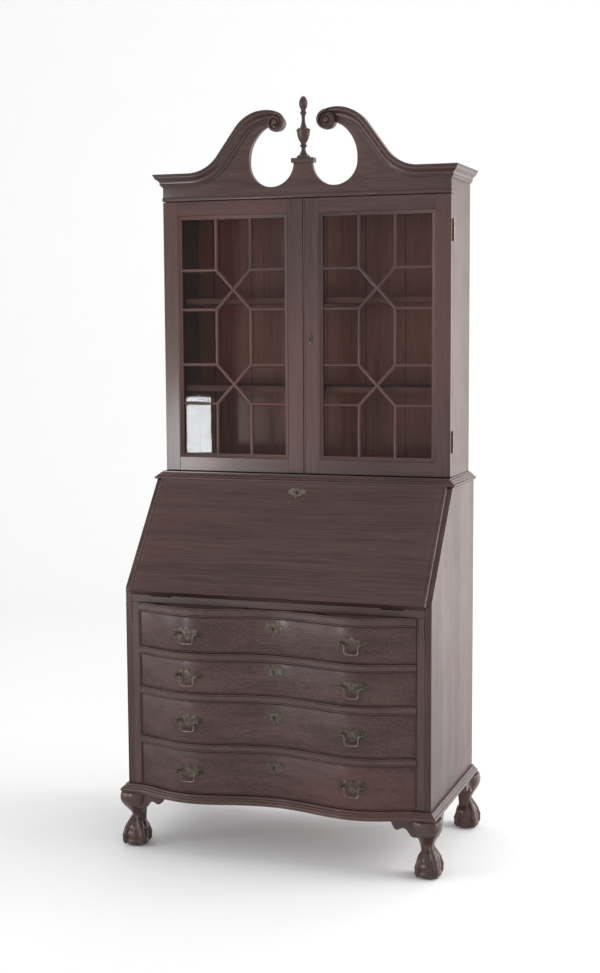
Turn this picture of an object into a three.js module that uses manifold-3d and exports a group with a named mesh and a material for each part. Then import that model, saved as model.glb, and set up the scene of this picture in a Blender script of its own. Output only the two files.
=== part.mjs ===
// Slant-front secretary desk with a glazed bookcase on top, four serpentine drawers,
// a fall-front writing lid on two pull-out lopers, and short claw-and-ball feet.
// Millimetres, +Z up. The front faces -Y and +X is the right-hand side seen from the front.
// Everything is laid out from the corner posts' front plane (y = 0) and the floor (z = 0);
// the last lines move the whole desk so that its origin is the bottom centre of its box.

import * as THREE from "three";
import { mergeVertices } from "three/addons/utils/BufferGeometryUtils.js";
import Module from "manifold-3d";

// ---------- driving dimensions ----------

const fit = 0.3; // gap that touching pieces keep
const slideFit = 1; // gap round a drawer front or a loper

// lower case
const caseWidth = 872;
const caseDepth = 475;
const sideThick = 18;
const postWidth = 22;
const postDepth = 22;
const backThick = 8;
const footHeight = 160;
const baseMouldingHeight = 23;
const baseMouldingReach = 21;
const bladeThick = 20.5;
const topRailThick = 23.5;
const bedThick = 20;
const deskTopThick = 18;
const drawerOpenings = [99.5, 92, 119, 120]; // clear heights, top drawer first
const bladeOverhang = 3; // how far the beaded blades stand in front of the drawer fronts' line

// oxbow front: how far it swells, where it swells most (share of the half opening), and its centre
const bulge = 41;
const bulgePeak = 0.59;
const centreSwell = 4;

// drawers
const drawerFrontThick = 20; // at the flat ends
const drawerWall = 10;
const drawerBottomThick = 8;
const drawerBackGap = 46.7; // behind each drawer box, up to the back panel
const drawerGuideHeight = 15;

// drawer pulls
const pullPostSpacing = 62;
const pullPostLift = 3; // posts sit this far above the middle of each front
const postNeckRadius = 3.4;
const postHeadRadius = 5.2;
const bailStandOff = 12; // pivot line to the drawer front
const bailDrop = 27;
const bailRodRadius = 2.1;

// writing bed, fall front and lopers
const slopeAngle = THREE.MathUtils.degToRad(51.5); // slant of the closed fall, from level
const writingHeight = 299; // from the bed's top to the top of the lower case
const lidThick = 20;
const lidRebate = 11.5; // the part of the thickness that sits between the sides
const lidLip = 7; // how far the lip overlaps each side
const lidTopGap = 15; // from the lid's inner top edge up to the case top
const loperWidth = 16.6;
const loperHeight = 57;
const loperBackGap = 66.7; // behind each loper, up to the back panel
const fallHingeInset = 88; // hinge centre, from the side board
const fallHingeWidth = 60;
const fallHingeLeaf = 26;
const hingeLeafThick = 1.5;
const fallKnuckleRadius = 3;

// pigeonholes behind the fall
const galleryTopGap = 18.7; // above the pigeonholes, up to the desk top's underside
const galleryFrontGap = 31.76; // from the closed lid's inner face to the pigeonholes' upper front edge
const galleryBoard = 8;
const galleryLowerHeight = 110;
const galleryUpperBays = 5;
const galleryLowerBays = 3;

// waist moulding
const waistHeight = 21.7;
const waistReach = 7;

// bookcase
const bookInset = 15; // bookcase side from the lower case's side
const bookSetBack = 31.94; // closed doors' front face behind the top of the slope
const doorThick = 20;
const doorGap = 1.5; // above the waist moulding and below the frieze
const doorMeetingGap = 0.8; // each door to the middle
const doorHeight = 763.5;
const doorStile = 43;
const doorMeetingStile = 45;
const doorRail = 39;
const stickingWidth = 11; // moulded step round the glass
const stickingDepth = 5;
const muntinWidth = 9;
const muntinDepth = 8;
const glassThick = 3;
const glassRebate = 6;
const crossHeight = 111; // height of each diagonal crossing
const middlePane = 156; // height of the upright bars between the crossings
const doorHingeReach = 3; // pivot line outside the case side
const doorHingeRadius = 2.5;
const doorHingeHeight = 60;
const doorHingeInset = 95; // hinge centre from the door's end
const shelfThick = 16;
const shelfSetBack = 12; // behind the sides' front edges
const shelfLevels = [227, 475]; // shelf undersides, from the doors' lower edge

// pediment
const friezeToCrown = 76; // frieze's lower edge to the top of the level crown
const friezeBead = 12;
const friezeBeadReach = 4;
const pedimentThick = 20;
const crownHeight = 35;
const crownReach = 22;
const crestRise = 164; // from the level crown up to the crest
const crestOffset = 102; // crest from the middle
const neckRun = 233; // from the crest out to where the crown turns level
const neckRadius = 111;
const scrollOffset = 74; // rosette centre from the middle
const scrollDrop = 35; // rosette centre below the crest
const scrollRadius = 25;
const scrollReach = 4; // rosette in front of the crown
const scoopOffset = 92; // centre of the round scoop beside the plinth
const scoopRadius = 66;
const archRadius = 105; // outer edge of the opening above the scoop
const scoopLift = 22; // centre of the scoop above the level crown
const plinthCapHeight = 13;
const plinthCapHalf = 40;
const plinthNeckHalf = 26;
const plinthTop = 19.5; // top of the neck above the level crown
const finialHeight = 167.6;
const finialRadius = 20;

// feet
const kneeInset = 14; // middle of the knee from the case's side and from its front or back
const footSideInset = 14; // leg line at the ankle from the case's side
const footFrontInset = 28; // and from its front
const footBackInset = 12; // or, on a rear foot, from its back
const ballRadius = 33;
const ballForward = 3; // ball in front of the leg line, along both faces
const ballFlat = 1.5; // worn away where the ball stands on the floor
const clawRadius = 4.2;
const bracketReach = 112; // knee bracket's end from the case corner
const bracketDrop = 72;
const bracketThick = 22;
const bracketSetBack = 10; // bracket's face behind the base moulding's

// ---------- heights and planes worked out from them ----------

const halfCase = caseWidth / 2;
const innerHalf = halfCase - sideThick;
const openHalf = innerHalf - postWidth;
const baseTop = footHeight + baseMouldingHeight;
const drawerFloors = [0, 0, 0, 0];
for (let i = 3, z = baseTop; i >= 0; i--) {
  drawerFloors[i] = z;
  z += drawerOpenings[i] + bladeThick;
}
const topRailFloor = drawerFloors[0] + drawerOpenings[0];
const bedFloor = topRailFloor + topRailThick + 2 * fit;
const bedTop = bedFloor + bedThick;
const caseTop = bedTop + writingHeight;
const slopeBreak = bedTop + lidRebate / Math.cos(slopeAngle);
const slopeRun = (caseTop - slopeBreak) / Math.tan(slopeAngle); // depth of the slanted edge
const backPlane = caseDepth - backThick;
const boardBack = backPlane - fit; // rear edge of boards that end at the back panel
const waistFloor = caseTop + fit;
const waistTop = waistFloor + waistHeight;
const halfBook = halfCase - bookInset;
const bookInner = halfBook - sideThick;
const doorFront = slopeRun + bookSetBack;
const doorBack = doorFront + doorThick;
const doorFloor = waistTop + doorGap;
const doorTop = doorFloor + doorHeight;
const friezeFloor = doorTop + doorGap;
const crownTop = friezeFloor + friezeToCrown;
const crestTop = crownTop + crestRise;

// ---------- materials ----------

const mahogany = new THREE.MeshStandardMaterial({ color: 0x55332b, roughness: 0.42, metalness: 0 });
const darkMahogany = new THREE.MeshStandardMaterial({ color: 0x43291f, roughness: 0.5, metalness: 0 });
const innerWood = new THREE.MeshStandardMaterial({ color: 0x8a5f42, roughness: 0.6, metalness: 0 });
const brass = new THREE.MeshStandardMaterial({ color: 0x7c6b41, roughness: 0.38, metalness: 0.9 });
const pane = new THREE.MeshStandardMaterial({ color: 0xdfe6e4, roughness: 0.06, metalness: 0 });
pane.transparent = true;
pane.opacity = 0.3;

// ---------- solids ----------

const wasm = await Module();
wasm.setup();

// A closed three.js geometry as a solid that can be joined and cut.
function solid(geometry) {
  const bare = geometry.index ? geometry.clone() : geometry;
  bare.deleteAttribute("normal");
  bare.deleteAttribute("uv");
  const merged = mergeVertices(bare, 1e-4);
  const mesh = new wasm.Mesh({
    numProp: 3,
    vertProperties: new Float32Array(merged.attributes.position.array),
    triVerts: new Uint32Array(merged.index.array),
  });
  return new wasm.Manifold(mesh);
}

function join(...solids) {
  return solids.reduce((all, one) => all.add(one));
}

function cut(from, ...tools) {
  return tools.reduce((rest, one) => rest.subtract(one), from);
}

function block(x0, x1, y0, y1, z0, z1) {
  const geometry = new THREE.BoxGeometry(x1 - x0, y1 - y0, z1 - z0);
  return solid(geometry.translate((x0 + x1) / 2, (y0 + y1) / 2, (z0 + z1) / 2));
}

function outline(points) {
  return new THREE.Shape(points.map(([a, b]) => new THREE.Vector2(a, b)));
}

// A shape drawn in plan (x, y), raised from z0 to z1.
function raised(shape, z0, z1, curveSegments = 12) {
  const geometry = new THREE.ExtrudeGeometry(shape, { depth: z1 - z0, bevelEnabled: false, curveSegments });
  return solid(geometry.translate(0, 0, z0));
}

// A shape drawn on the front (x, z), run back from y0 to y1.
function runBack(shape, y0, y1, curveSegments = 12) {
  const geometry = new THREE.ExtrudeGeometry(shape, { depth: y1 - y0, bevelEnabled: false, curveSegments });
  return solid(geometry.rotateX(Math.PI / 2).translate(0, y1, 0));
}

// A shape drawn on the side (y, z), run across from x0 to x1.
function runAcross(shape, x0, x1, curveSegments = 12) {
  const geometry = new THREE.ExtrudeGeometry(shape, { depth: x1 - x0, bevelEnabled: false, curveSegments });
  const turn = new THREE.Matrix4().makeBasis(
    new THREE.Vector3(0, 1, 0),
    new THREE.Vector3(0, 0, 1),
    new THREE.Vector3(1, 0, 0),
  );
  return solid(geometry.applyMatrix4(turn).translate(x0, 0, 0));
}

function rod(radius, from, to, sides = 12) {
  const along = to.clone().sub(from);
  const geometry = new THREE.CylinderGeometry(radius, radius, along.length(), sides);
  const turn = new THREE.Quaternion().setFromUnitVectors(new THREE.Vector3(0, 1, 0), along.normalize());
  geometry.applyQuaternion(turn);
  return solid(geometry.translate(...from.clone().add(to).multiplyScalar(0.5).toArray()));
}

function ball(radius, at, across = 16, up = 10) {
  return solid(new THREE.SphereGeometry(radius, across, up).translate(at.x, at.y, at.z));
}

// A solid from its own points and triangles, which are all turned over if they face inwards.
function facingOut(positions, triangles) {
  const geometry = new THREE.BufferGeometry();
  geometry.setAttribute("position", new THREE.Float32BufferAttribute(positions, 3));
  geometry.setIndex(triangles);
  const made = solid(geometry);
  if (made.volume() > 0) return made;
  geometry.setIndex([...triangles].reverse());
  return solid(geometry);
}

// A closed profile carried through stations, each with its place and its two drawing directions.
function sweep(drawn, stations) {
  const flat = drawn.map(([a, b]) => new THREE.Vector2(a, b));
  const profile = THREE.ShapeUtils.isClockWise(flat) ? [...drawn].reverse() : drawn;
  const positions = [];
  const triangles = [];
  for (const { at, first, second } of stations) {
    for (const [a, b] of profile) {
      const point = at.clone().addScaledVector(first, a).addScaledVector(second, b);
      positions.push(point.x, point.y, point.z);
    }
  }
  const n = profile.length;
  for (let s = 0; s + 1 < stations.length; s++) {
    for (let i = 0; i < n; i++) {
      const a = s * n + i;
      const b = s * n + ((i + 1) % n);
      triangles.push(a, b, b + n, a, b + n, a + n);
    }
  }
  const cap = THREE.ShapeUtils.triangulateShape(profile.map(([a, b]) => new THREE.Vector2(a, b)), []);
  const last = (stations.length - 1) * n;
  for (const [a, b, c] of cap) {
    triangles.push(a, c, b);
    triangles.push(last + a, last + b, last + c);
  }
  return facingOut(positions, triangles);
}

// ---------- the desk and its nodes ----------

const desk = new THREE.Group();

function add(name, made, material) {
  const { vertProperties, triVerts } = made.getMesh();
  const geometry = new THREE.BufferGeometry();
  geometry.setAttribute("position", new THREE.Float32BufferAttribute(vertProperties, 3));
  geometry.setIndex(Array.from(triVerts));
  geometry.computeVertexNormals();
  const mesh = new THREE.Mesh(geometry, material);
  mesh.name = name;
  desk.add(mesh);
}

function mirrored(made) {
  return made.mirror([1, 0, 0]);
}

// The left piece is drawn and the right one is its mirror image.
function addPair(leftName, rightName, left, material) {
  add(leftName, left, material);
  add(rightName, mirrored(left), material);
}

// ---------- oxbow line ----------

// How far the front stands forward of the posts at x.
function swell(x) {
  const share = Math.min(Math.abs(x) / openHalf, 1);
  const turns = share ** (Math.log(0.5) / Math.log(bulgePeak));
  const wave = Math.max(Math.sin(Math.PI * turns), 0) ** 1.5;
  return bulge * wave + centreSwell * Math.cos((Math.PI / 2) * share) ** 2;
}

const oxbowSteps = 30;

// Points of the oxbow line from left to right, moved forward by a given distance.
function oxbow(halfWidth, forward) {
  const points = [];
  for (let i = 0; i <= oxbowSteps; i++) {
    const x = -halfWidth + (2 * halfWidth * i) / oxbowSteps;
    points.push([x, -swell(x) - forward]);
  }
  return points;
}

// ---------- lower case ----------

function sideBoard() {
  const profile = outline([
    [0, footHeight],
    [caseDepth, footHeight],
    [caseDepth, caseTop],
    [slopeRun, caseTop],
    [0, slopeBreak],
  ]);
  return runAcross(profile, -halfCase, -innerHalf);
}

addPair("left_side", "right_side", sideBoard(), mahogany);

const boardHalf = innerHalf - fit; // end of boards between the sides

add("desk_back", block(-boardHalf, boardHalf, backPlane, caseDepth, footHeight, caseTop), innerWood);

// A board across the case whose front follows the oxbow line, with a drawer guide at each side.
function bladeBoard(floor, thick, guideHeight) {
  const front = oxbow(openHalf - fit, bladeOverhang);
  const shoulder = postDepth + fit;
  const plan = outline([
    ...front,
    [openHalf - fit, shoulder],
    [boardHalf, shoulder],
    [boardHalf, boardBack],
    [-boardHalf, boardBack],
    [-boardHalf, shoulder],
    [-openHalf + fit, shoulder],
  ]);
  let board = raised(plan, floor, floor + thick);
  const top = floor + thick;
  if (guideHeight > 0) {
    const guide = block(-boardHalf, -openHalf, shoulder, boardBack, top - 1, top + guideHeight);
    board = join(board, guide, mirrored(guide));
  }
  return board;
}

add("bottom_board", bladeBoard(footHeight + 3, baseMouldingHeight - 3, drawerGuideHeight), mahogany);

const loperFloor = bedFloor - 2 * fit - loperHeight;
const bladeFloor = (drawer) => drawerFloors[drawer] - bladeThick;
const runnerHeight = loperFloor - fit - drawerFloors[0]; // the top blade's guides carry the lopers
add("blade_3", bladeBoard(bladeFloor(2), bladeThick, drawerGuideHeight), mahogany);
add("blade_2", bladeBoard(bladeFloor(1), bladeThick, drawerGuideHeight), mahogany);
add("blade_1", bladeBoard(bladeFloor(0), bladeThick, runnerHeight), mahogany);

const slipHalf = innerHalf - 1 - loperWidth - 0.6; // outer face of the thin slip beside each loper

function topRail() {
  const plan = outline([
    ...oxbow(openHalf - fit, bladeOverhang),
    [openHalf - fit, boardBack],
    [-openHalf + fit, boardBack],
  ]);
  return raised(plan, topRailFloor, topRailFloor + topRailThick);
}

add("top_rail", topRail(), mahogany);

function cornerPost() {
  const top = bedFloor - fit;
  const post = block(-boardHalf, -openHalf, 0, postDepth, baseTop + fit, top);
  const loperSlot = block(-innerHalf - 1, -slipHalf, -1, postDepth + 1, loperFloor - fit, top + 1);
  return cut(post, loperSlot);
}

addPair("left_post", "right_post", cornerPost(), mahogany);

const fallHingeX = innerHalf - fallHingeInset;
const hingeX = [-fallHingeX, fallHingeX];
const knuckleRoom = fallKnuckleRadius + 0.5;

// Round clearance along the fall's pivot line for one hinge knuckle.
function knuckleSpace(x, radius) {
  const from = new THREE.Vector3(x - fallHingeWidth / 2 - 0.5, 0, bedTop);
  const to = new THREE.Vector3(x + fallHingeWidth / 2 + 0.5, 0, bedTop);
  return rod(radius, from, to, 16);
}

function writingBed() {
  const board = block(-boardHalf, boardHalf, 0, boardBack, bedFloor, bedTop);
  const cuts = hingeX.flatMap((x) => [
    knuckleSpace(x, knuckleRoom),
    block(
      x - fallHingeWidth / 2 - fit,
      x + fallHingeWidth / 2 + fit,
      -1,
      fallHingeLeaf + fit,
      bedTop - hingeLeafThick - fit,
      bedTop + 1,
    ),
  ]);
  return cut(board, ...cuts);
}

add("writing_bed", writingBed(), mahogany);

function deskTop() {
  // the front edge leans with the lid's square end, clear of its swing
  const lidEnd = caseTop - lidTopGap;
  const edge = (lidEnd - bedTop) / Math.tan(slopeAngle) + 3;
  const bevelStart = [edge, lidEnd + 2];
  const bevelEnd = [edge - (caseTop - bevelStart[1]) * Math.tan(slopeAngle), caseTop];
  const underside = caseTop - deskTopThick;
  const profile = outline([[edge, underside], [boardBack, underside], [boardBack, caseTop], bevelEnd, bevelStart]);
  return runAcross(profile, -boardHalf, boardHalf);
}

add("desk_top", deskTop(), mahogany);

// ---------- base moulding, applied round the front and both sides ----------

// Stations round three sides of the case; the profile's first direction points outwards.
function aroundCase(frontPoints, sideX, backY) {
  const up = new THREE.Vector3(0, 0, 1);
  const corners = [[-sideX, backY], ...frontPoints, [sideX, backY]];
  const path = corners.map(([x, y]) => new THREE.Vector2(x, y));
  return path.map((point, i) => {
    const before = i > 0 ? point.clone().sub(path[i - 1]).normalize() : null;
    const after = i + 1 < path.length ? path[i + 1].clone().sub(point).normalize() : null;
    const a = before ?? after;
    const b = after ?? before;
    const normalA = new THREE.Vector2(a.y, -a.x);
    const normalB = new THREE.Vector2(b.y, -b.x);
    const miter = normalA.clone().add(normalB);
    miter.multiplyScalar(2 / miter.lengthSq());
    return {
      at: new THREE.Vector3(point.x, point.y, 0),
      first: new THREE.Vector3(miter.x, miter.y, 0),
      second: up,
    };
  });
}

function baseMoulding() {
  const z = footHeight;
  const reach = baseMouldingReach;
  const top = baseTop;
  const profile = [
    [fit + bladeOverhang, z],
    [reach - 2, z],
    [reach, z + 2],
    [reach, z + 9],
    [reach - 3, z + 11],
    [reach - 6, z + 15],
    [reach - 12, top - 4],
    [reach - 13, top],
    [fit + bladeOverhang, top],
  ];
  const line = oxbow(openHalf - fit, 0);
  const front = [[-halfCase + bladeOverhang, 0], ...line, [halfCase - bladeOverhang, 0]];
  return sweep(profile, aroundCase(front, halfCase - bladeOverhang, caseDepth));
}

add("base_moulding", baseMoulding(), mahogany);

// ---------- claw-and-ball feet ----------

// The leg's sections: half width, distance outwards along the diagonal, and share of the way
// up from the ball to the case.
const legSections = [
  [31, 5, 1],
  [31, 10, 0.884],
  [29, 12, 0.748],
  [25, 7, 0.612],
  [19, -1, 0.476],
  [15.5, -6, 0.323],
  [15, -5, 0.204],
  [19, -1, 0.102],
  [25, 3, 0],
];

// A leg whose diagonal points to -X -Y, going from the knee's line down to the foot's.
function leg(knee, foot) {
  const sides = 12;
  const positions = [];
  const triangles = [];
  const low = ballRadius + 9;
  for (const [half, out, share] of legSections) {
    const z = low + (footHeight - fit - low) * share;
    const line = foot.clone().lerp(knee, THREE.MathUtils.smoothstep(share, 0.32, 0.88));
    for (let i = 0; i < sides; i++) {
      const angle = (2 * Math.PI * i) / sides;
      const along = Math.cos(angle);
      const across = Math.sin(angle);
      const square = 1 / (Math.abs(along) ** 1.4 + Math.abs(across) ** 1.4) ** (1 / 1.4);
      const u = out + half * along * square;
      const v = half * across * square;
      positions.push(line.x + (-u - v) * Math.SQRT1_2, line.y + (-u + v) * Math.SQRT1_2, z);
    }
  }
  const rings = legSections.length;
  for (let r = 0; r + 1 < rings; r++) {
    for (let i = 0; i < sides; i++) {
      const a = r * sides + i;
      const b = r * sides + ((i + 1) % sides);
      triangles.push(a, b, b + sides, a, b + sides, a + sides);
    }
  }
  for (let i = 1; i + 1 < sides; i++) {
    const last = (rings - 1) * sides;
    triangles.push(0, i + 1, i);
    triangles.push(last, last + i, last + i + 1);
  }
  return facingOut(positions, triangles);
}

// Four tapering claws that clasp the ball, one forward and back along each diagonal.
function claws(centre) {
  const made = [];
  for (let i = 0; i < 4; i++) {
    const angle = Math.PI / 4 + (Math.PI / 2) * i;
    const ray = new THREE.Vector3(Math.cos(angle), Math.sin(angle), 0);
    const at = (out, z) => centre.clone().setZ(z).addScaledVector(ray, out);
    const knots = [
      at(ballRadius - 15, 2 * ballRadius - 6),
      at(ballRadius, ballRadius + 12),
      at(ballRadius + 1, ballRadius - 8),
      at(ballRadius - 8, clawRadius),
    ];
    for (let k = 0; k + 1 < knots.length; k++) made.push(rod(clawRadius, knots[k], knots[k + 1], 5));
  }
  return made;
}

// The shaped bracket beside a knee, drawn from the case corner inwards and hanging from the case.
function kneeBracket() {
  const top = footHeight - fit;
  const foot = top - bracketDrop;
  const shape = new THREE.Shape();
  shape.moveTo(30, top);
  shape.lineTo(bracketReach, top);
  shape.lineTo(bracketReach, top - 6);
  shape.quadraticCurveTo(bracketReach - 10, top - 10, bracketReach - 14, top - 20);
  shape.quadraticCurveTo(bracketReach - 22, top - 40, bracketReach - 36, top - 35);
  shape.quadraticCurveTo(bracketReach - 44, top - 26, bracketReach - 53, top - 34);
  shape.quadraticCurveTo(bracketReach - 64, foot + 22, bracketReach - 68, foot);
  shape.lineTo(30, foot);
  return shape;
}

// A foot under the front left corner, its ankle a given distance behind the front.
function cornerFoot(frontInset, withFrontBracket) {
  const knee = new THREE.Vector2(-halfCase + kneeInset, kneeInset);
  const foot = new THREE.Vector2(-halfCase + footSideInset, frontInset);
  const centre = new THREE.Vector3(foot.x - ballForward, foot.y - ballForward, ballRadius - ballFlat);
  const face = bracketSetBack - baseMouldingReach;
  const pieces = [leg(knee, foot), ball(ballRadius, centre, 12, 8), ...claws(centre)];
  pieces.push(runAcross(kneeBracket(), -halfCase + face, -halfCase + face + bracketThick, 5));
  if (withFrontBracket) {
    pieces.push(runBack(kneeBracket(), face, face + bracketThick, 5).translate([-halfCase, 0, 0]));
  }
  const underFloor = block(foot.x - 90, foot.x + 90, foot.y - 90, foot.y + 90, -10, 0);
  return cut(join(...pieces), underFloor);
}

// A rear foot is a front foot turned to face the back, without the bracket along the back.
const frontFoot = cornerFoot(footFrontInset, true);
const rearFoot = cornerFoot(footBackInset, false).mirror([0, 1, 0]).translate([0, caseDepth, 0]);
addPair("front_left_foot", "front_right_foot", frontFoot, mahogany);
addPair("rear_left_foot", "rear_right_foot", rearFoot, mahogany);

// ---------- drawers and pulls ----------

const pullX = bulgePeak * openHalf;

function pullPost(x, z) {
  const front = -swell(x);
  const pivot = -swell(pullX) - bailStandOff;
  const root = new THREE.Vector3(x, front + 3, z);
  const neck = rod(postNeckRadius, root, new THREE.Vector3(x, pivot, z), 6);
  const head = ball(postHeadRadius, new THREE.Vector3(x, pivot, z), 7, 4);
  return join(neck, head);
}

function drawerFront(i) {
  const floor = drawerFloors[i] + slideFit;
  const top = drawerFloors[i] + drawerOpenings[i] - slideFit;
  const half = openHalf - slideFit;
  const plan = outline([...oxbow(half, 0), [half, drawerFrontThick], [-half, drawerFrontThick]]);
  const middle = (floor + top) / 2 + pullPostLift;
  const posts = [];
  for (const side of [-1, 1]) {
    for (const end of [-1, 1]) posts.push(pullPost(side * pullX + (end * pullPostSpacing) / 2, middle));
  }
  return join(raised(plan, floor, top), ...posts);
}

// An open tray: two sides, a back and a bottom; the drawer front closes it.
function drawerBox(i) {
  const half = openHalf - 1.5;
  const start = drawerFrontThick + fit;
  const end = boardBack - drawerBackGap;
  const floor = drawerFloors[i] + slideFit;
  const top = drawerFloors[i] + drawerOpenings[i] - 12;
  const whole = block(-half, half, start, end, floor, top);
  const room = half - drawerWall;
  const inside = block(-room, room, start - 1, end - drawerWall, floor + drawerBottomThick, top + 1);
  return cut(whole, inside);
}

// The bail hangs from its two posts; its ends stop just short of their heads.
function bail(side, i) {
  const z = drawerFloors[i] + drawerOpenings[i] / 2 + pullPostLift;
  const y = -swell(pullX) - bailStandOff;
  const reach = pullPostSpacing / 2 - postHeadRadius - 0.5;
  const half = [
    [reach, 0],
    [reach - 4, -1.5],
    [reach - 6, -7],
    [reach - 4.5, -bailDrop * 0.55],
    [reach - 7, -bailDrop * 0.9],
    [reach - 13, -bailDrop],
  ];
  const drawn = [...half, [0, -bailDrop], ...half.map(([a, b]) => [-a, b]).reverse()];
  const knots = drawn.map(([a, b]) => new THREE.Vector3(side * pullX + a, y, z + b));
  const curve = new THREE.CatmullRomCurve3(knots);
  const sides = 6;
  const ring = [];
  for (let s = 0; s < sides; s++) {
    const angle = (2 * Math.PI * s) / sides;
    ring.push([bailRodRadius * Math.cos(angle), bailRodRadius * Math.sin(angle)]);
  }
  const steps = 18;
  const stations = [];
  for (let s = 0; s <= steps; s++) {
    const along = curve.getTangentAt(s / steps);
    stations.push({
      at: curve.getPointAt(s / steps),
      first: new THREE.Vector3(-along.z, 0, along.x),
      second: new THREE.Vector3(0, 1, 0),
    });
  }
  return sweep(ring, stations);
}

for (let i = 0; i < drawerOpenings.length; i++) {
  add(`drawer_${i + 1}_front`, drawerFront(i), mahogany);
  add(`drawer_${i + 1}_box`, drawerBox(i), innerWood);
  add(`drawer_${i + 1}_left_bail`, bail(-1, i), brass);
  add(`drawer_${i + 1}_right_bail`, bail(1, i), brass);
}

// ---------- fall front, its hinges and lopers ----------

const lidLength = (writingHeight - lidTopGap) / Math.sin(slopeAngle);

// Section of the closed lid: its inner face passes through the pivot line at the bed's front edge.
function lidSection(nearest, farthest, inner, outer) {
  const along = [Math.cos(slopeAngle), Math.sin(slopeAngle)];
  const outward = [-Math.sin(slopeAngle), Math.cos(slopeAngle)];
  const at = (a, n) => [a * along[0] + n * outward[0], bedTop + a * along[1] + n * outward[1]];
  return outline([at(nearest, inner), at(farthest, inner), at(farthest, outer), at(nearest, outer)]);
}

function fallFront() {
  const start = 0.5;
  const bodyHalf = innerHalf - slideFit;
  const body = runAcross(lidSection(start, lidLength, 0, lidThick), -bodyHalf, bodyHalf);
  const lipHalf = innerHalf + lidLip;
  const lip = runAcross(lidSection(start, lidLength, lidRebate + 0.4, lidThick), -lipHalf, lipHalf);
  const knuckles = hingeX.map((x) => knuckleSpace(x, knuckleRoom));
  return cut(join(body, lip), ...knuckles);
}

add("fall_front", fallFront(), darkMahogany);

// One leaf let into the bed, with the knuckle on the pivot line.
function fallHinge(x) {
  const from = new THREE.Vector3(x - fallHingeWidth / 2, 0, bedTop);
  const to = new THREE.Vector3(x + fallHingeWidth / 2, 0, bedTop);
  const leafTop = bedTop - 0.1;
  const leaf = block(from.x, to.x, 0, fallHingeLeaf, leafTop - hingeLeafThick, leafTop);
  return join(rod(fallKnuckleRadius, from, to, 12), leaf);
}

add("left_fall_hinge", fallHinge(hingeX[0]), brass);
add("right_fall_hinge", fallHinge(hingeX[1]), brass);

const loperOuter = innerHalf - 1;
const loperInner = loperOuter - loperWidth;
const loperEnd = boardBack - loperBackGap;
const loper = block(-loperOuter, -loperInner, 0, loperEnd, loperFloor, loperFloor + loperHeight);
addPair("left_loper", "right_loper", loper, mahogany);

// ---------- pigeonholes ----------

function pigeonholes() {
  const half = boardHalf - 1;
  const back = boardBack - fit;
  const floor = bedTop + fit;
  const top = caseTop - deskTopThick - galleryTopGap;
  const front = (top - bedTop) / Math.tan(slopeAngle) + galleryFrontGap;
  const shelf = floor + galleryBoard + galleryLowerHeight;
  let unit = block(-half, half, front, back, floor, top);
  const rows = [
    [galleryLowerBays, floor + galleryBoard, shelf],
    [galleryUpperBays, shelf + galleryBoard, top - galleryBoard],
  ];
  for (const [bays, z0, z1] of rows) {
    const width = (2 * half - (bays + 1) * galleryBoard) / bays;
    for (let i = 0; i < bays; i++) {
      const x = -half + galleryBoard + i * (width + galleryBoard);
      unit = cut(unit, block(x, x + width, front - 1, back - galleryBoard, z0, z1));
    }
  }
  return unit;
}

add("pigeonholes", pigeonholes(), innerWood);

// ---------- waist moulding ----------

function waistMoulding() {
  const z = waistFloor;
  const reach = waistReach;
  const inner = halfBook - halfCase + fit;
  const profile = [
    [inner, z],
    [reach - 1.5, z],
    [reach, z + 2],
    [reach, z + 6],
    [reach - 3, z + 8],
    [reach - 8, z + 10],
    [reach - 13, waistTop - 5],
    [reach - 18, waistTop - 3.5],
    [reach - 18, waistTop],
    [inner, waistTop],
  ];
  const front = [[-halfCase, slopeRun], [halfCase, slopeRun]];
  const frame = sweep(profile, aroundCase(front, halfCase, caseDepth));
  // a level ledge carries the moulding's top in under the doors
  const ledgeHalf = halfBook + fit + 1;
  const ledge = block(-ledgeHalf, ledgeHalf, slopeRun - inner - 1, doorBack, z, waistTop);
  return join(frame, ledge);
}

add("waist_moulding", waistMoulding(), mahogany);

// ---------- bookcase ----------

const bookFloor = caseTop + fit;
const sideTop = crownTop - 3;
const bookTop = crownTop + scoopLift - scoopRadius - 2; // just below the openings in the pediment
const bookFront = doorBack + 2 * fit; // front edge of the bookcase's fixed boards
const hingeLevels = [doorFloor + doorHingeInset, doorTop - doorHingeInset];
const doorPivotX = halfBook + doorHingeReach;

function bookcaseSide() {
  const board = block(-halfBook, -bookInner, bookFront, caseDepth, bookFloor, sideTop);
  const mortises = hingeLevels.map((z) =>
    block(
      -halfBook - 1,
      -halfBook + 17,
      bookFront - 1,
      bookFront + hingeLeafThick + fit,
      z - doorHingeHeight / 2 - fit,
      z + doorHingeHeight / 2 + fit,
    ),
  );
  return cut(board, ...mortises);
}

addPair("bookcase_left_side", "bookcase_right_side", bookcaseSide(), mahogany);

const bookBoardHalf = bookInner - fit;
const bookBack = block(-bookBoardHalf, bookBoardHalf, backPlane, caseDepth, bookFloor, bookTop);
add("bookcase_back", bookBack, darkMahogany);

function bookBoard(front, floor, top) {
  return block(-bookBoardHalf, bookBoardHalf, front, boardBack, floor, top);
}

add("bookcase_bottom", bookBoard(bookFront, bookFloor, waistTop), mahogany);
add("bookcase_top", bookBoard(bookFront, bookTop - sideThick, bookTop), mahogany);

const [lowerLevel, upperLevel] = shelfLevels.map((level) => doorFloor + level);
add("lower_shelf", bookBoard(bookFront + shelfSetBack, lowerLevel, lowerLevel + shelfThick), mahogany);
add("upper_shelf", bookBoard(bookFront + shelfSetBack, upperLevel, upperLevel + shelfThick), mahogany);

// ---------- glazed doors ----------

const sight = {
  x0: -halfBook + doorStile + stickingWidth,
  x1: -doorMeetingStile - stickingWidth,
  z0: doorFloor + doorRail + stickingWidth,
  z1: doorTop - doorRail - stickingWidth,
};

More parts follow.
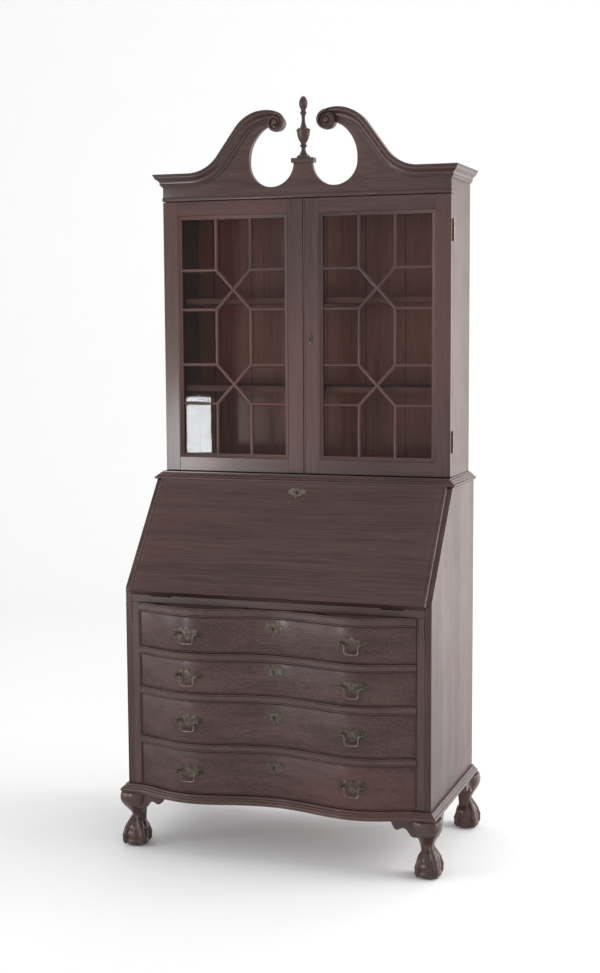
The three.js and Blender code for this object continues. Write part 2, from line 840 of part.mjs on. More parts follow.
// Centre lines of the glazing bars: two uprights at the thirds, crossing in two diagonal pairs.
function barLines() {
  const third = (sight.x1 - sight.x0) / 3;
  const left = sight.x0 + third;
  const right = sight.x1 - third;
  const middle = (sight.z0 + sight.z1) / 2;
  const inner = middlePane / 2;
  const outer = inner + crossHeight;
  const lines = [];
  for (const up of [-1, 1]) {
    const near = middle + up * inner;
    const far = middle + up * outer;
    const end = up > 0 ? sight.z1 : sight.z0;
    lines.push([left, near, right, far], [left, far, right, near]);
    for (const level of [near, far]) {
      lines.push([sight.x0, level, left, level], [right, level, sight.x1, level]);
    }
    lines.push([left, far, left, end], [right, far, right, end]);
  }
  lines.push([left, middle - inner, left, middle + inner], [right, middle - inner, right, middle + inner]);
  return lines;
}

const barFront = doorFront + stickingDepth + 1;
const barBack = barFront + muntinDepth;
const glassFront = barBack + fit;
const glassBack = glassFront + glassThick;

function glazingBar([x0, z0, x1, z1]) {
  const along = new THREE.Vector2(x1 - x0, z1 - z0);
  const length = along.length() + muntinWidth * 0.8;
  const bar = new THREE.BoxGeometry(length, muntinDepth, muntinWidth);
  bar.rotateY(-along.angle());
  return solid(bar.translate((x0 + x1) / 2, (barFront + barBack) / 2, (z0 + z1) / 2));
}

function doorFrame() {
  const { x0, x1, z0, z1 } = sight;
  const slab = block(-halfBook, -doorMeetingGap, doorFront, doorBack, doorFloor, doorTop);
  const opening = block(x0, x1, doorFront - 1, doorBack + 1, z0, z1);
  const s = stickingWidth;
  const step = block(x0 - s, x1 + s, doorFront - 1, doorFront + stickingDepth, z0 - s, z1 + s);
  const g = glassRebate + fit;
  const rebate = block(x0 - g, x1 + g, barBack, doorBack + 1, z0 - g, z1 + g);
  return join(cut(slab, opening, step, rebate), ...barLines().map(glazingBar));
}

function doorGlass() {
  const { x0, x1, z0, z1 } = sight;
  const g = glassRebate;
  return block(x0 - g, x1 + g, glassFront, glassBack, z0 - g, z1 + g);
}

addPair("left_door_frame", "right_door_frame", doorFrame(), mahogany);
addPair("left_door_glass", "right_door_glass", doorGlass(), pane);

// The knuckle stands outside the corner and its leaf is let into the side's front edge.
function doorHinge(z) {
  const y = doorBack;
  const low = new THREE.Vector3(-doorPivotX, y, z - doorHingeHeight / 2);
  const high = new THREE.Vector3(-doorPivotX, y, z + doorHingeHeight / 2);
  const leafFront = bookFront + 0.1;
  const leaf = block(-doorPivotX, -halfBook + 16, leafFront, leafFront + hingeLeafThick - 0.1, low.z, high.z);
  return join(rod(doorHingeRadius, low, high, 12), leaf);
}

addPair("left_door_lower_hinge", "right_door_lower_hinge", doorHinge(hingeLevels[0]), brass);
addPair("left_door_upper_hinge", "right_door_upper_hinge", doorHinge(hingeLevels[1]), brass);

// ---------- swan-neck pediment ----------

// Upper edge of the right half's crown: level from the corner, then a sloping S up to the crest.
function neckLine() {
  const roomiest = (neckRun * neckRun) / crestRise + crestRise; // four radii of the widest arcs that fit
  const radius = Math.min(neckRadius, roomiest * 0.24);
  const low = new THREE.Vector2(crestOffset + neckRun, crownTop + radius);
  const high = new THREE.Vector2(crestOffset, crestTop - radius);
  const between = low.clone().sub(high);
  const swing = Math.acos(Math.min((2 * radius) / between.length(), 1));
  const meet = between.angle() + swing;
  return { low, high, radius, meet };
}

// Points of the crown's upper edge and their outward directions, from the corner to the scroll.
function crownPath() {
  const { low, high, radius, meet } = neckLine();
  const path = [];
  const steps = 9;
  for (let i = 0; i <= steps; i++) {
    const angle = -Math.PI / 2 - ((Math.PI / 2 - meet) * i) / steps;
    const ray = new THREE.Vector2(Math.cos(angle), Math.sin(angle));
    path.push({ at: low.clone().addScaledVector(ray, radius), out: ray.clone().negate(), size: 1 });
  }
  const end = THREE.MathUtils.degToRad(104);
  for (let i = 0; i <= steps + 2; i++) {
    const angle = meet + ((end - meet) * i) / (steps + 2);
    const ray = new THREE.Vector2(Math.cos(angle), Math.sin(angle));
    const size = 1 - 0.3 * Math.max(0, (i - steps + 4) / 6);
    path.push({ at: high.clone().addScaledVector(ray, radius), out: ray, size });
  }
  return path;
}

// Crown section: first number down from the upper edge, second out from the board's face.
const crownProfile = [
  [0, fit],
  [0, crownReach],
  [5, crownReach],
  [7, crownReach - 3],
  [12, crownReach - 5],
  [20, crownReach - 10],
  [25, crownReach - 16],
  [28, crownReach - 17],
  [31, 4],
  [crownHeight, 2.5],
  [crownHeight, fit],
];

const scrollCentre = new THREE.Vector2(scrollOffset, crestTop - scrollDrop);

// The right crown: return along the side, mitred corner, level front, swan neck and scroll.
function crown() {
  const down = new THREE.Vector3(0, 0, -1);
  const stations = [
    {
      at: new THREE.Vector3(halfBook, caseDepth, crownTop),
      first: down,
      second: new THREE.Vector3(1, 0, 0),
    },
    {
      at: new THREE.Vector3(halfBook, doorFront, crownTop),
      first: down,
      second: new THREE.Vector3(1, -1, 0),
    },
  ];
  for (const { at, out, size } of crownPath()) {
    stations.push({
      at: new THREE.Vector3(at.x, doorFront, at.y),
      first: new THREE.Vector3(-out.x, 0, -out.y).multiplyScalar(size),
      second: new THREE.Vector3(0, -1, 0),
    });
  }
  const disc = new THREE.Vector3(scrollCentre.x, doorFront - fit, scrollCentre.y);
  const face = disc.clone().setY(doorFront - crownReach);
  const boss = disc.clone().setY(doorFront - crownReach - scrollReach);
  const scroll = join(rod(scrollRadius, disc, face, 28), rod(scrollRadius * 0.55, face, boss, 16));
  return join(sweep(crownProfile, stations), scroll);
}

const rightCrown = crown();
addPair("left_crown", "right_crown", mirrored(rightCrown), mahogany);

// Right half of the pediment board's outline, from the middle of the plinth to the corner.
function pedimentHalf() {
  const neckTop = crownTop + plinthTop;
  const scoop = new THREE.Vector2(scoopOffset, crownTop + scoopLift);
  const points = [[0, neckTop + 1], [plinthNeckHalf, neckTop + 1]];
  const arc = (centre, radius, from, to, steps) => {
    for (let i = 0; i <= steps; i++) {
      const angle = THREE.MathUtils.degToRad(from + ((to - from) * i) / steps);
      points.push([centre.x + radius * Math.cos(angle), centre.y + radius * Math.sin(angle)]);
    }
  };
  arc(scoop, scoopRadius, 190, 360, 16);
  const arch = new THREE.Vector2(scoopOffset + scoopRadius - archRadius, scoop.y + 8);
  arc(arch, archRadius, 4, 54, 6);
  arc(scrollCentre, scrollRadius - 4, -10, -250, 12);
  const inset = 8;
  const path = crownPath().reverse();
  for (const { at, out } of path) points.push([at.x - out.x * inset, at.y - out.y * inset]);
  points.push([halfBook, crownTop - inset], [halfBook, friezeFloor]);
  return points;
}

function pedimentBoard() {
  const right = pedimentHalf();
  const left = right.map(([x, z]) => [-x, z]).reverse();
  const pedimentBack = doorFront + pedimentThick - fit;
  const board = runBack(outline([...right, ...left.slice(0, -1)]), doorFront, pedimentBack);
  const bead = block(
    -halfBook - friezeBeadReach + 2,
    halfBook + friezeBeadReach - 2,
    doorFront - friezeBeadReach,
    pedimentBack,
    friezeFloor,
    friezeFloor + friezeBead,
  );
  const capFloor = crownTop + plinthTop;
  const capTop = capFloor + plinthCapHeight;
  const cap = runBack(
    outline([
      [-plinthNeckHalf - 3, capFloor],
      [plinthNeckHalf + 3, capFloor],
      [plinthCapHalf, capTop - 5],
      [plinthCapHalf, capTop],
      [-plinthCapHalf, capTop],
      [-plinthCapHalf, capTop - 5],
    ]),
    doorFront - 8,
    doorFront + pedimentThick + 8,
  );
  return join(board, bead, cap);
}

add("pediment_board", pedimentBoard(), mahogany);

// Turned urn and bud: radius and height as shares of the finial's radius and height.
const finialTurning = [
  [1, 0],
  [1, 0.03],
  [0.72, 0.07],
  [0.33, 0.13],
  [0.3, 0.17],
  [0.46, 0.2],
  [0.4, 0.23],
  [0.7, 0.3],
  [0.86, 0.36],
  [1, 0.44],
  [0.92, 0.47],
  [0.55, 0.49],
  [0.3, 0.56],
  [0.24, 0.63],
  [0.3, 0.7],
  [0.42, 0.735],
  [0.33, 0.76],
  [0.52, 0.82],
  [0.6, 0.88],
  [0.5, 0.93],
  [0.22, 0.98],
];

function finial() {
  const points = [new THREE.Vector2(0, 0)];
  for (const [r, h] of finialTurning) points.push(new THREE.Vector2(r * finialRadius, h * finialHeight));
  points.push(new THREE.Vector2(0, finialHeight));
  const turned = new THREE.LatheGeometry(points, 14).rotateX(Math.PI / 2);
  const floor = crownTop + plinthTop + plinthCapHeight + fit;
  return solid(turned.translate(0, doorFront + pedimentThick / 2, floor));
}

add("finial", finial(), mahogany);

// ---------- origin at the bottom centre of the desk's box ----------

const extent = new THREE.Box3().setFromObject(desk);
desk.position.y = -(extent.min.y + extent.max.y) / 2;

export default desk;
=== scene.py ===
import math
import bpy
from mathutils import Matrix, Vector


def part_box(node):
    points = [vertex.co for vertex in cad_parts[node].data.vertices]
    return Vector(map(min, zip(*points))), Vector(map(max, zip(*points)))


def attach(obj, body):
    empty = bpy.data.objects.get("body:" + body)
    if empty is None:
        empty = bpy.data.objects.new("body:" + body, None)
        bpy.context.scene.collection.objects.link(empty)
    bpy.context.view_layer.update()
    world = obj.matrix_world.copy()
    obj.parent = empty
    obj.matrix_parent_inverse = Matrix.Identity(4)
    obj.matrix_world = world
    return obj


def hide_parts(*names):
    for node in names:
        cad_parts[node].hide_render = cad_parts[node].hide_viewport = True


bl_info = {
    "name": "Secretary Desk",
    "version": (1, 0, 0),
    "blender": (4, 5, 0),
    "location": "View3D > Sidebar > Desk",
    "description": "Finishes a slant-front secretary desk: mouldings, carving, brasses and polish",
    "category": "Object",
}

import bpy
from bpy.props import FloatProperty, FloatVectorProperty, PointerProperty
from mathutils import Matrix, Vector

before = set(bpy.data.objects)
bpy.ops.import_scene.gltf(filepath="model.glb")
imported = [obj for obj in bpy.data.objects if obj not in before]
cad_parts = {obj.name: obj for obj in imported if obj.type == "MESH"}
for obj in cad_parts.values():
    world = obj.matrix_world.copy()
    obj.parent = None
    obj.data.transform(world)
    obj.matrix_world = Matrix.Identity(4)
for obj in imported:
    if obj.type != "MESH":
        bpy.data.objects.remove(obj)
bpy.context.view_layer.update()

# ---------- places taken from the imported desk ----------

CASE_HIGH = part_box("right_side")[1]
POST_LOW, POST_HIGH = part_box("right_post")
WAIST_LOW, WAIST_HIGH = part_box("waist_moulding")
DOOR_LOW, DOOR_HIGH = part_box("right_door_frame")
CROWN_LOW, CROWN_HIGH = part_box("right_crown")
FINIAL_LOW, FINIAL_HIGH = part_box("finial")

FRONT = POST_LOW.y  # plane of the corner posts' faces
BACK = CASE_HIGH.y
HALF_CASE = CASE_HIGH.x
OPEN = POST_LOW.x  # half the width of the drawer openings
HALF_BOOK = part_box("bookcase_right_side")[1].x
BOOK_FACE = DOOR_LOW.y
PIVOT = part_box("writing_bed")[1].z  # height of the fall's hinge line
RAIL_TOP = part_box("top_rail")[1].z
BASE_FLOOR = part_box("base_moulding")[0].z
FRIEZE_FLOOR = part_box("pediment_board")[0].z
HALF_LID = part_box("fall_front")[1].x
CROWN_TALL = 0.035
CROWN_TOP = CROWN_LOW.z + CROWN_TALL  # top of the crown's level part
CREST = CROWN_HIGH.z

# the oxbow front, as the case boards are cut
SWELL = 0.041
SWELL_PEAK = 0.59
SWELL_MIDDLE = 0.004
SWELL_STEPS = 120
DRAWER_STEPS = 110
PULL_X = SWELL_PEAK * OPEN


def swell(x):
    """How far the oxbow line stands out from the posts at x."""
    share = min(abs(x) / OPEN, 1.0)
    turns = share ** (math.log(0.5) / math.log(SWELL_PEAK))
    wave = max(math.sin(math.pi * turns), 0.0) ** 1.5
    return SWELL * wave + SWELL_MIDDLE * math.cos(math.pi / 2 * share) ** 2


def oxbow(half, forward):
    xs = [-half + 2 * half * i / SWELL_STEPS for i in range(SWELL_STEPS + 1)]
    return [(x, FRONT - swell(x) - forward) for x in xs]


# ---------- modelling by hand, in short ----------


CRISP = 17  # degrees: keeps the flats beside an eased arris flat
MERGE = 0.00001


def deselect():
    if bpy.context.object and bpy.context.object.mode != "OBJECT":
        bpy.ops.object.mode_set(mode="OBJECT")
    bpy.ops.object.select_all(action="DESELECT")


def only(piece):
    deselect()
    piece.select_set(True)
    bpy.context.view_layer.objects.active = piece
    return piece


def apply_place():
    bpy.ops.object.transform_apply(location=True, rotation=True, scale=True)


def open_mesh(piece):
    """Goes into edit mode on a piece, with all of it selected."""
    only(piece)
    bpy.ops.object.mode_set(mode="EDIT")
    bpy.ops.mesh.select_all(action="SELECT")


def close_mesh():
    bpy.ops.object.mode_set(mode="OBJECT")


def settle(piece, name, smooth=40):
    """Gives a piece its name, puts its place into its mesh and turns its faces outwards."""
    only(piece)
    apply_place()
    open_mesh(piece)
    bpy.ops.mesh.remove_doubles(threshold=MERGE)
    bpy.ops.mesh.normals_make_consistent(inside=False)
    close_mesh()
    if smooth:
        bpy.ops.object.shade_smooth_by_angle(angle=math.radians(smooth))
    piece.name = name
    piece.data.name = name
    return piece


def join(pieces, name, smooth=40):
    deselect()
    for piece in pieces:
        piece.select_set(True)
    bpy.context.view_layer.objects.active = pieces[0]
    bpy.ops.object.join()
    return settle(bpy.context.object, name, smooth)


def modify(piece, kind, **settings):
    only(piece)
    modifier = piece.modifiers.new(kind.title(), kind)
    for key, value in settings.items():
        setattr(modifier, key, value)
    bpy.ops.object.modifier_apply(modifier=modifier.name)
    return piece


def soften(piece, width, segments):
    limit = math.radians(40)
    return modify(piece, "BEVEL", width=width, segments=segments, limit_method="ANGLE", angle_limit=limit)


def block(low, high, round_by=0.0, segments=2):
    """A squared board between two corners, its arrises eased."""
    deselect()
    low, high = Vector(low), Vector(high)
    bpy.ops.mesh.primitive_cube_add(size=1, location=(low + high) / 2)
    board = bpy.context.object
    board.scale = high - low
    apply_place()
    if round_by:
        soften(board, round_by, segments)
    return board


def drawn(loops, closed=True, radii=None):
    """A flat curve through points, with one spline to each loop."""
    data = bpy.data.curves.new("drawn", "CURVE")
    data.dimensions = "2D"
    for loop in loops:
        spline = data.splines.new("POLY")
        spline.points.add(len(loop) - 1)
        spline.use_cyclic_u = closed
        for i, (a, b) in enumerate(loop):
            spline.points[i].co = (a, b, 0, 1)
            if radii:
                spline.points[i].radius = radii[i]
    curve = bpy.data.objects.new("drawn", data)
    bpy.context.scene.collection.objects.link(curve)
    return curve


def made_mesh(curve):
    only(curve)
    bpy.ops.object.convert(target="MESH")
    return bpy.context.object


def moulding(path, profile, closed=False, radii=None):
    """A profile run along a flat path, mitred at its corners: (to the right of the path, up)."""
    section = drawn([profile])
    run = drawn([path], closed, radii)
    run.data.bevel_mode = "OBJECT"
    run.data.bevel_object = section
    run.data.use_fill_caps = True
    piece = made_mesh(run)
    bpy.data.objects.remove(section)
    return piece


def sawn(loops, thick, ease=0.0, ease_steps=1):
    """A flat shape sawn from a board lying on its face, from z = 0 up to its thickness."""
    shape = drawn(loops)
    shape.data.fill_mode = "BOTH"
    shape.data.extrude = thick / 2 - ease
    shape.data.bevel_depth = ease
    shape.data.bevel_resolution = ease_steps
    shape.data.offset = -ease
    piece = made_mesh(shape)
    piece.location.z = thick / 2
    apply_place()
    return piece


def stood(piece, y):
    """Turns a flat piece up to face the front, its back on the plane y."""
    only(piece)
    piece.rotation_euler = (math.radians(90), 0, 0)
    piece.location = (0, y, 0)
    apply_place()
    return piece


def turned(profile, centre, axis="Z", steps=48):
    """A lathe-turned piece: (radius, distance along the axis) from one end to the other."""
    piece = made_mesh(drawn([profile], closed=False))
    open_mesh(piece)
    bpy.ops.mesh.spin(steps=steps, angle=math.tau, center=(0, 0, 0), axis=(0, 1, 0))
    bpy.ops.mesh.select_all(action="SELECT")
    bpy.ops.mesh.remove_doubles(threshold=MERGE)
    close_mesh()
    piece.rotation_euler = {"Z": (math.radians(90), 0, 0), "Y": (math.radians(180), 0, 0)}[axis]
    piece.location = centre
    apply_place()
    return piece


def slices(piece, places, axis="X"):
    """Saws guide lines across a piece, so that it can be bent."""
    normal = {"X": (1, 0, 0), "Z": (0, 0, 1)}[axis]
    open_mesh(piece)
    for place in places:
        bpy.ops.mesh.select_all(action="SELECT")
        bpy.ops.mesh.bisect(plane_co=[place * n for n in normal], plane_no=normal)
    close_mesh()


def bend_to_front(piece, behind, steps):
    """Pushes a straight front piece out to the oxbow line; what lies behind a plane stays flat."""
    low = min(v.co.x for v in piece.data.vertices)
    high = max(v.co.x for v in piece.data.vertices)
    slices(piece, [low + (high - low) * i / steps for i in range(1, steps)])
    most = SWELL + SWELL_MIDDLE
    group = piece.vertex_groups.new(name="swell")
    for vertex in piece.data.vertices:
        if behind is None or vertex.co.y < behind:
            group.add([vertex.index], swell(vertex.co.x) / most, "REPLACE")
    modify(piece, "DISPLACE", direction="Y", mid_level=0.0, vertex_group="swell", strength=-most)
    piece.vertex_groups.clear()


def copy_of(piece, matrix, name):
    """Another piece like this one, turned or moved, with a mesh of its own."""
    twin = piece.copy()
    twin.data = piece.data.copy()
    bpy.context.scene.collection.objects.link(twin)
    twin.name = name
    twin.data.name = name
    twin.data.transform(matrix)
    if matrix.determinant() < 0:
        open_mesh(twin)
        bpy.ops.mesh.flip_normals()
        close_mesh()
    return twin


MIRROR = Matrix.Diagonal((-1, 1, 1, 1))


def place(piece, body, slot, material, *nodes):
    """Fixes a finished piece to its body and gives it its finish."""
    piece.data.materials.clear()
    piece.data.materials.append(material)
    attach(piece, body)
    if nodes:
        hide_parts(*nodes)
    return piece


def finish_nodes(material, *nodes):
    for node in nodes:
        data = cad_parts[node].data
        data.materials.clear()
        data.materials.append(material)


# ---------- finishes ----------


class Link:
    """One value in a material, which can be written into sums."""

    def __init__(self, graph, socket):
        self.graph = graph
        self.socket = socket

    def _sum(self, operation, first, second):
        return self.graph.node("ShaderNodeMath", {"operation": operation}, {0: first, 1: second})

    def __add__(self, other):
        return self._sum("ADD", self, other)

    def __radd__(self, other):
        return self._sum("ADD", other, self)

    def __sub__(self, other):
        return self._sum("SUBTRACT", self, other)

    def __rsub__(self, other):
        return self._sum("SUBTRACT", other, self)

    def __mul__(self, other):
        return self._sum("MULTIPLY", self, other)

    def __rmul__(self, other):
        return self._sum("MULTIPLY", other, self)


class Graph:
    """A material's nodes, made one at a time."""

    def __init__(self, name):
        self.material = bpy.data.materials.new(name)
        self.material.use_nodes = True
        self.tree = self.material.node_tree
        self.tree.nodes.clear()

    def node(self, kind, settings=None, inputs=None, output=0):
        made = self.tree.nodes.new(kind)
        for key, value in (settings or {}).items():
            if key == "stops":
                ramp = made.color_ramp
                while len(ramp.elements) < len(value):
                    ramp.elements.new(0.5)
                for element, (position, colour) in zip(ramp.elements, value):
                    element.position = position
                    element.color = (*colour, 1) if len(colour) == 3 else colour
            else:
                setattr(made, key, value)
        for key, value in (inputs or {}).items():
            if isinstance(value, Link):
                self.tree.links.new(value.socket, made.inputs[key])
            else:
                made.inputs[key].default_value = value
        return None if output is None else Link(self, made.outputs[output])

    def grey(self, value, low, high):
        """The value spread from 0 at low to 1 at high, and clipped."""
        inputs = {"Value": value, "From Min": low, "From Max": high}
        return self.node("ShaderNodeMapRange", {"interpolation_type": "SMOOTHSTEP"}, inputs)

    def bump(self, strength, distance, height):
        inputs = {"Strength": strength, "Distance": distance, "Height": height}
        return self.node("ShaderNodeBump", {}, inputs)

    def place(self):
        return self.node("ShaderNodeTexCoord", {}, {}, "Object")

    def blend(self, factor, first, second):
        settings = {"data_type": "RGBA", "clamp_factor": True}
        inputs = {0: factor, 6: first if isinstance(first, Link) else (*first, 1)}
        inputs[7] = second if isinstance(second, Link) else (*second, 1)
        return self.node("ShaderNodeMix", settings, inputs, 2)

    def noise(self, place, scale, stretch=(1, 1, 1), detail=3.0, rough=0.55, twist=0.0):
        inputs = {0: place, 1: stretch}
        stretched = self.node("ShaderNodeVectorMath", {"operation": "MULTIPLY"}, inputs)
        inputs = {"Vector": stretched, "Scale": scale, "Detail": detail}
        inputs |= {"Roughness": rough, "Distortion": twist}
        return self.node("ShaderNodeTexNoise", {}, inputs)

    def ended(self, surface):
        self.node("ShaderNodeOutputMaterial", {}, {"Surface": surface}, None)
        return self.material

    def finish(self, **inputs):
        return self.ended(self.node("ShaderNodeBsdfPrincipled", {}, inputs))


def shade(colour, by):
    return tuple(c * by for c in colour)


TURN = {"X": (0, 0, 0), "Y": (0, 0, math.radians(90)), "Z": (0, math.radians(90), 0)}


def wood(name, dark, light, grain, ribbon=0.0, gloss=0.32, coat=0.25, boards=0.0, red=0.5):
    """Polished wood whose fibres run along one axis, with ribbons, pores and a worn, even polish.

    boards is the width of the planks that it is painted as, and the red amount how strongly soft patches of
    painted red reflection tint it.
    """
    if name in bpy.data.materials:
        return bpy.data.materials[name]
    g = Graph(name)
    along = g.node("ShaderNodeMapping", {}, {"Vector": g.place(), "Rotation": TURN[grain]})
    sway = g.noise(along, 1.6, (1.0, 3.0, 3.0), 2.0)
    shift = (sway - 0.5) * 0.05
    offset = g.node("ShaderNodeCombineXYZ", {}, {"X": 0.0, "Y": shift, "Z": shift})
    place = g.node("ShaderNodeVectorMath", {"operation": "ADD"}, {0: along, 1: offset})
    fibre = g.noise(place, 1.0, (7.0, 380.0, 380.0), 5.0, 0.6)
    streak = g.noise(place, 1.0, (1.4, 46.0, 46.0), 4.0, 0.55, 0.4)
    cloud = g.noise(along, 3.2, (0.8, 1.4, 1.4), 3.0, 0.5)
    pores = g.grey(g.noise(place, 1.0, (42.0, 1500.0, 1500.0), 2.0, 0.5), 0.6, 0.72)
    tone = fibre * 0.68 + streak * 0.32
    if ribbon:
        band = g.noise(place, 1.0, (0.3, 26.0, 26.0), 2.0, 0.5)
        tone = tone + (band - 0.5) * ribbon
        coat = (band - 0.3) * coat * (1 + ribbon)
    tone = tone + (cloud - 0.5) * 0.2
    warm = tuple((d + l) / 2 for d, l in zip(dark, light))
    stops = [(0.0, shade(dark, 0.8)), (0.35, dark), (0.6, warm), (1.0, light)]
    colour = g.node("ShaderNodeValToRGB", {"stops": stops}, {"Fac": g.grey(tone, 0.05, 0.95)})
    # soft patches of painted red reflection, tinting the wood as far as the red amount says
    red_reflection_patch = g.grey(g.noise(along, 2.1, (0.6, 1.0, 1.0), 1.0), 0.4, 0.75)
    colour = g.blend(red_reflection_patch * red * 0.5, colour, (light[0] * 1.05, light[1] * 0.7, light[2] * 0.62))
    colour = g.blend(pores * 0.5, colour, shade(dark, 0.4))
    if boards:
        split = g.node("ShaderNodeSeparateXYZ", {}, {"Vector": along}, 2)
        share = g.node("ShaderNodeMath", {"operation": "PINGPONG"}, {0: split, 1: boards / 2})
        colour = g.blend(1 - g.grey(share, 0.0008, 0.0035), colour, shade(dark, 0.3))
    smear = g.noise(along, 9.0, (1, 1, 1), 3.0, 0.6)
    rough = gloss + (smear - 0.5) * 0.14 + (fibre - 0.5) * 0.08 + pores * 0.12
    height = fibre * 0.35 + streak * 0.25 - pores * 0.5
    polish = {"Coat Weight": coat, "Coat Roughness": 0.16, "Specular IOR Level": 0.27}
    bump = g.bump(0.22, 0.0003, height)
    return g.finish(**{"Base Color": colour, "Roughness": rough, "Normal": bump}, **polish)


def mahogany(grain, **changes):
    finish = bpy.context.scene.desk_finish
    settings = {"gloss": finish.gloss}
    settings.update(changes)
    label = "_".join(f"{key}{value}" for key, value in sorted(changes.items()))
    name = f"mahogany_{grain}_{label}".replace(".", "p")
    return wood(name, tuple(finish.dark), tuple(finish.light), grain, **settings)


def drawer_wood():
    dark, light = (0.22, 0.115, 0.055), (0.42, 0.26, 0.14)
    return wood("drawer_wood", dark, light, "X", gloss=0.55, coat=0.05, red=0.1)


def brass(name="old_brass", lift=1.0):
    """Old brass, browned in its hollows and rubbed brighter in patches."""
    if name in bpy.data.materials:
        return bpy.data.materials[name]
    # lift scales the brass colour; the hinges' lighter and darker copies are painted light and painted shade
    tone = shade(tuple(bpy.context.scene.desk_finish.brass), lift)
    g = Graph(name)
    place = g.place()
    patch = g.noise(place, 90.0, detail=4.0, rough=0.6)
    speck = g.noise(place, 700.0, detail=2.0)
    rubbed = g.grey(patch + (speck - 0.5) * 0.4, 0.42, 0.68)
    colour = g.blend(rubbed, shade(tone, 0.58), tone)
    rough = 0.5 - rubbed * 0.2
    bump = g.bump(0.35, 0.0003, patch + speck * 0.3)
    return g.finish(**{"Base Color": colour, "Roughness": rough, "Metallic": 0.9, "Normal": bump})


def keyhole_dark():
    """Painted shade for a keyhole: a near-black sheet, faintly mottled, where the inside of the lock would
    lie in shade.
    """
    if "keyhole_dark" in bpy.data.materials:
        return bpy.data.materials["keyhole_dark"]
    g = Graph("keyhole_dark")
    shade_mottle = g.noise(g.place(), 400.0)
    colour = g.blend(shade_mottle, (0.004, 0.003, 0.002), (0.012, 0.008, 0.006))
    return g.finish(**{"Base Color": colour, "Roughness": 0.8})


def window_glass():
    """Thin old glass: mostly clear, with a faint waviness in what it reflects."""
    if "window_glass" in bpy.data.materials:
        return bpy.data.materials["window_glass"]
    g = Graph("window_glass")
    place = g.place()
    bump = g.bump(0.08, 0.002, g.noise(place, 5.0, detail=1.0))
    clear = g.node("ShaderNodeBsdfTransparent", {}, {"Color": (0.93, 0.93, 0.915, 1)})
    mirrored = {"Color": (0.95, 0.97, 1.0, 1), "Roughness": 0.02, "Normal": bump}
    shine = g.node("ShaderNodeBsdfGlossy", {}, mirrored)
    facing = g.node("ShaderNodeFresnel", {}, {"IOR": 1.5, "Normal": bump})
    smudge = g.noise(place, 24.0, detail=3.0)
    factor = facing * 0.15 + smudge * 0.004
    return g.ended(g.node("ShaderNodeMixShader", {}, {0: factor, 1: clear, 2: shine}))


# ---------- profiles ----------


def ogee(start, end, steps=8):
    """An S-curve between two points of a profile."""
    points = []
    for i in range(steps + 1):
        t = i / steps
        eased = t - math.sin(math.tau * t) / math.tau
        points.append((start[0] + (end[0] - start[0]) * eased, start[1] + (end[1] - start[1]) * t))
    return points


def arc(centre, radius, first, last, steps):
    """Points on part of a circle, between two angles in degrees."""
    points = []
    for i in range(steps + 1):
        angle = math.radians(first + (last - first) * i / steps)
        points.append((centre[0] + radius * math.cos(angle), centre[1] + radius * math.sin(angle)))
    return points


def flowing(points, steps):
    """More points on a smooth line through the given ones."""
    last = len(points) - 1
    made = []
    for i in range(last):
        a, b, c, d = (Vector(points[min(max(i + k, 0), last)]) for k in (-1, 0, 1, 2))
        for step in range(steps):
            t = step / steps
            line = 2 * b + (c - a) * t + (2 * a - 5 * b + 4 * c - d) * t**2
            made.append(tuple(0.5 * (line + (3 * b - a - 3 * c + d) * t**3)))
    made.append(tuple(points[-1]))
    return made


def crown_profile():
    """Crown section: (down from its top, out from the case)."""
    return [
        (0.0, 0.0003),
        (0.0, 0.022),
        (0.0045, 0.022),
        (0.0055, 0.0205),
        (0.0065, 0.0195),
        *[(b, a) for a, b in ogee((0.0192, 0.0068), (0.0072, 0.0245), 10)],
        (0.0260, 0.0068),
        *[
            (0.0285 - 0.0022 * math.cos(a), 0.0052 + 0.0022 * math.sin(a))
            for a in (0.4, 0.9, 1.57, 2.2, 2.8)
        ],
        (0.0318, 0.0040),
        (CROWN_TALL, 0.0025),
        (CROWN_TALL, 0.0003),
    ]


def base_profile():
    """Base section: (out from the case, up from its lower edge)."""
    return [
        (0.0033, 0.0),
        (0.0175, 0.0),
        (0.0175, 0.0015),
        *arc((0.0150, 0.0068), 0.0056, -65, 75, 10),
        (0.0162, 0.0128),
        *ogee((0.0150, 0.0136), (0.0092, 0.0205), 8),
        (0.0085, 0.0210),
        (0.0085, 0.0230),
        (0.0033, 0.0230),
    ]


def waist_profile(reach):
    """Waist section: (out from the case, up from its lower edge)."""
    return [
        (-0.0147, 0.0),
        (reach - 0.0015, 0.0),
        *arc((reach - 0.0035, 0.0038), 0.0035, -75, 75, 8),
        (reach - 0.0045, 0.0078),
        *ogee((reach - 0.0055, 0.0085), (reach - 0.0130, 0.0168), 8),
        (reach - 0.0150, 0.0180),
        (reach - 0.0178, 0.0182),
        (reach - 0.0178, 0.0217),
        (-0.0147, 0.0217),
    ]


def beaded_edge(thick):
    """Front edge of a drawer blade: a flat between two small beads."""
    bead = 0.0019
    return [
        (-0.010, 0.0),
        (0.0034, 0.0),
        *arc((0.0036, bead), bead, -90, 90, 7),
        (0.0036, 2 * bead + 0.0004),
        (0.0046, 2 * bead + 0.0012),
        (0.0046, thick - 2 * bead - 0.0012),
        (0.0036, thick - 2 * bead - 0.0004),
        *arc((0.0036, thick - bead), bead, -90, 90, 7),
        (-0.010, thick),
    ]


# ---------- pediment, crown and finial ----------

NECK_RADIUS = 0.111
NECK_LOW = Vector((0.335, CROWN_TOP + NECK_RADIUS))
NECK_HIGH = Vector((0.102, CREST - NECK_RADIUS))
SCROLL = Vector((0.074, CREST - 0.035))
SCROLL_RADIUS = 0.025
NECK_STEPS = 30
BOARD_THICK = 0.0197
PLINTH_HALF = 0.0285


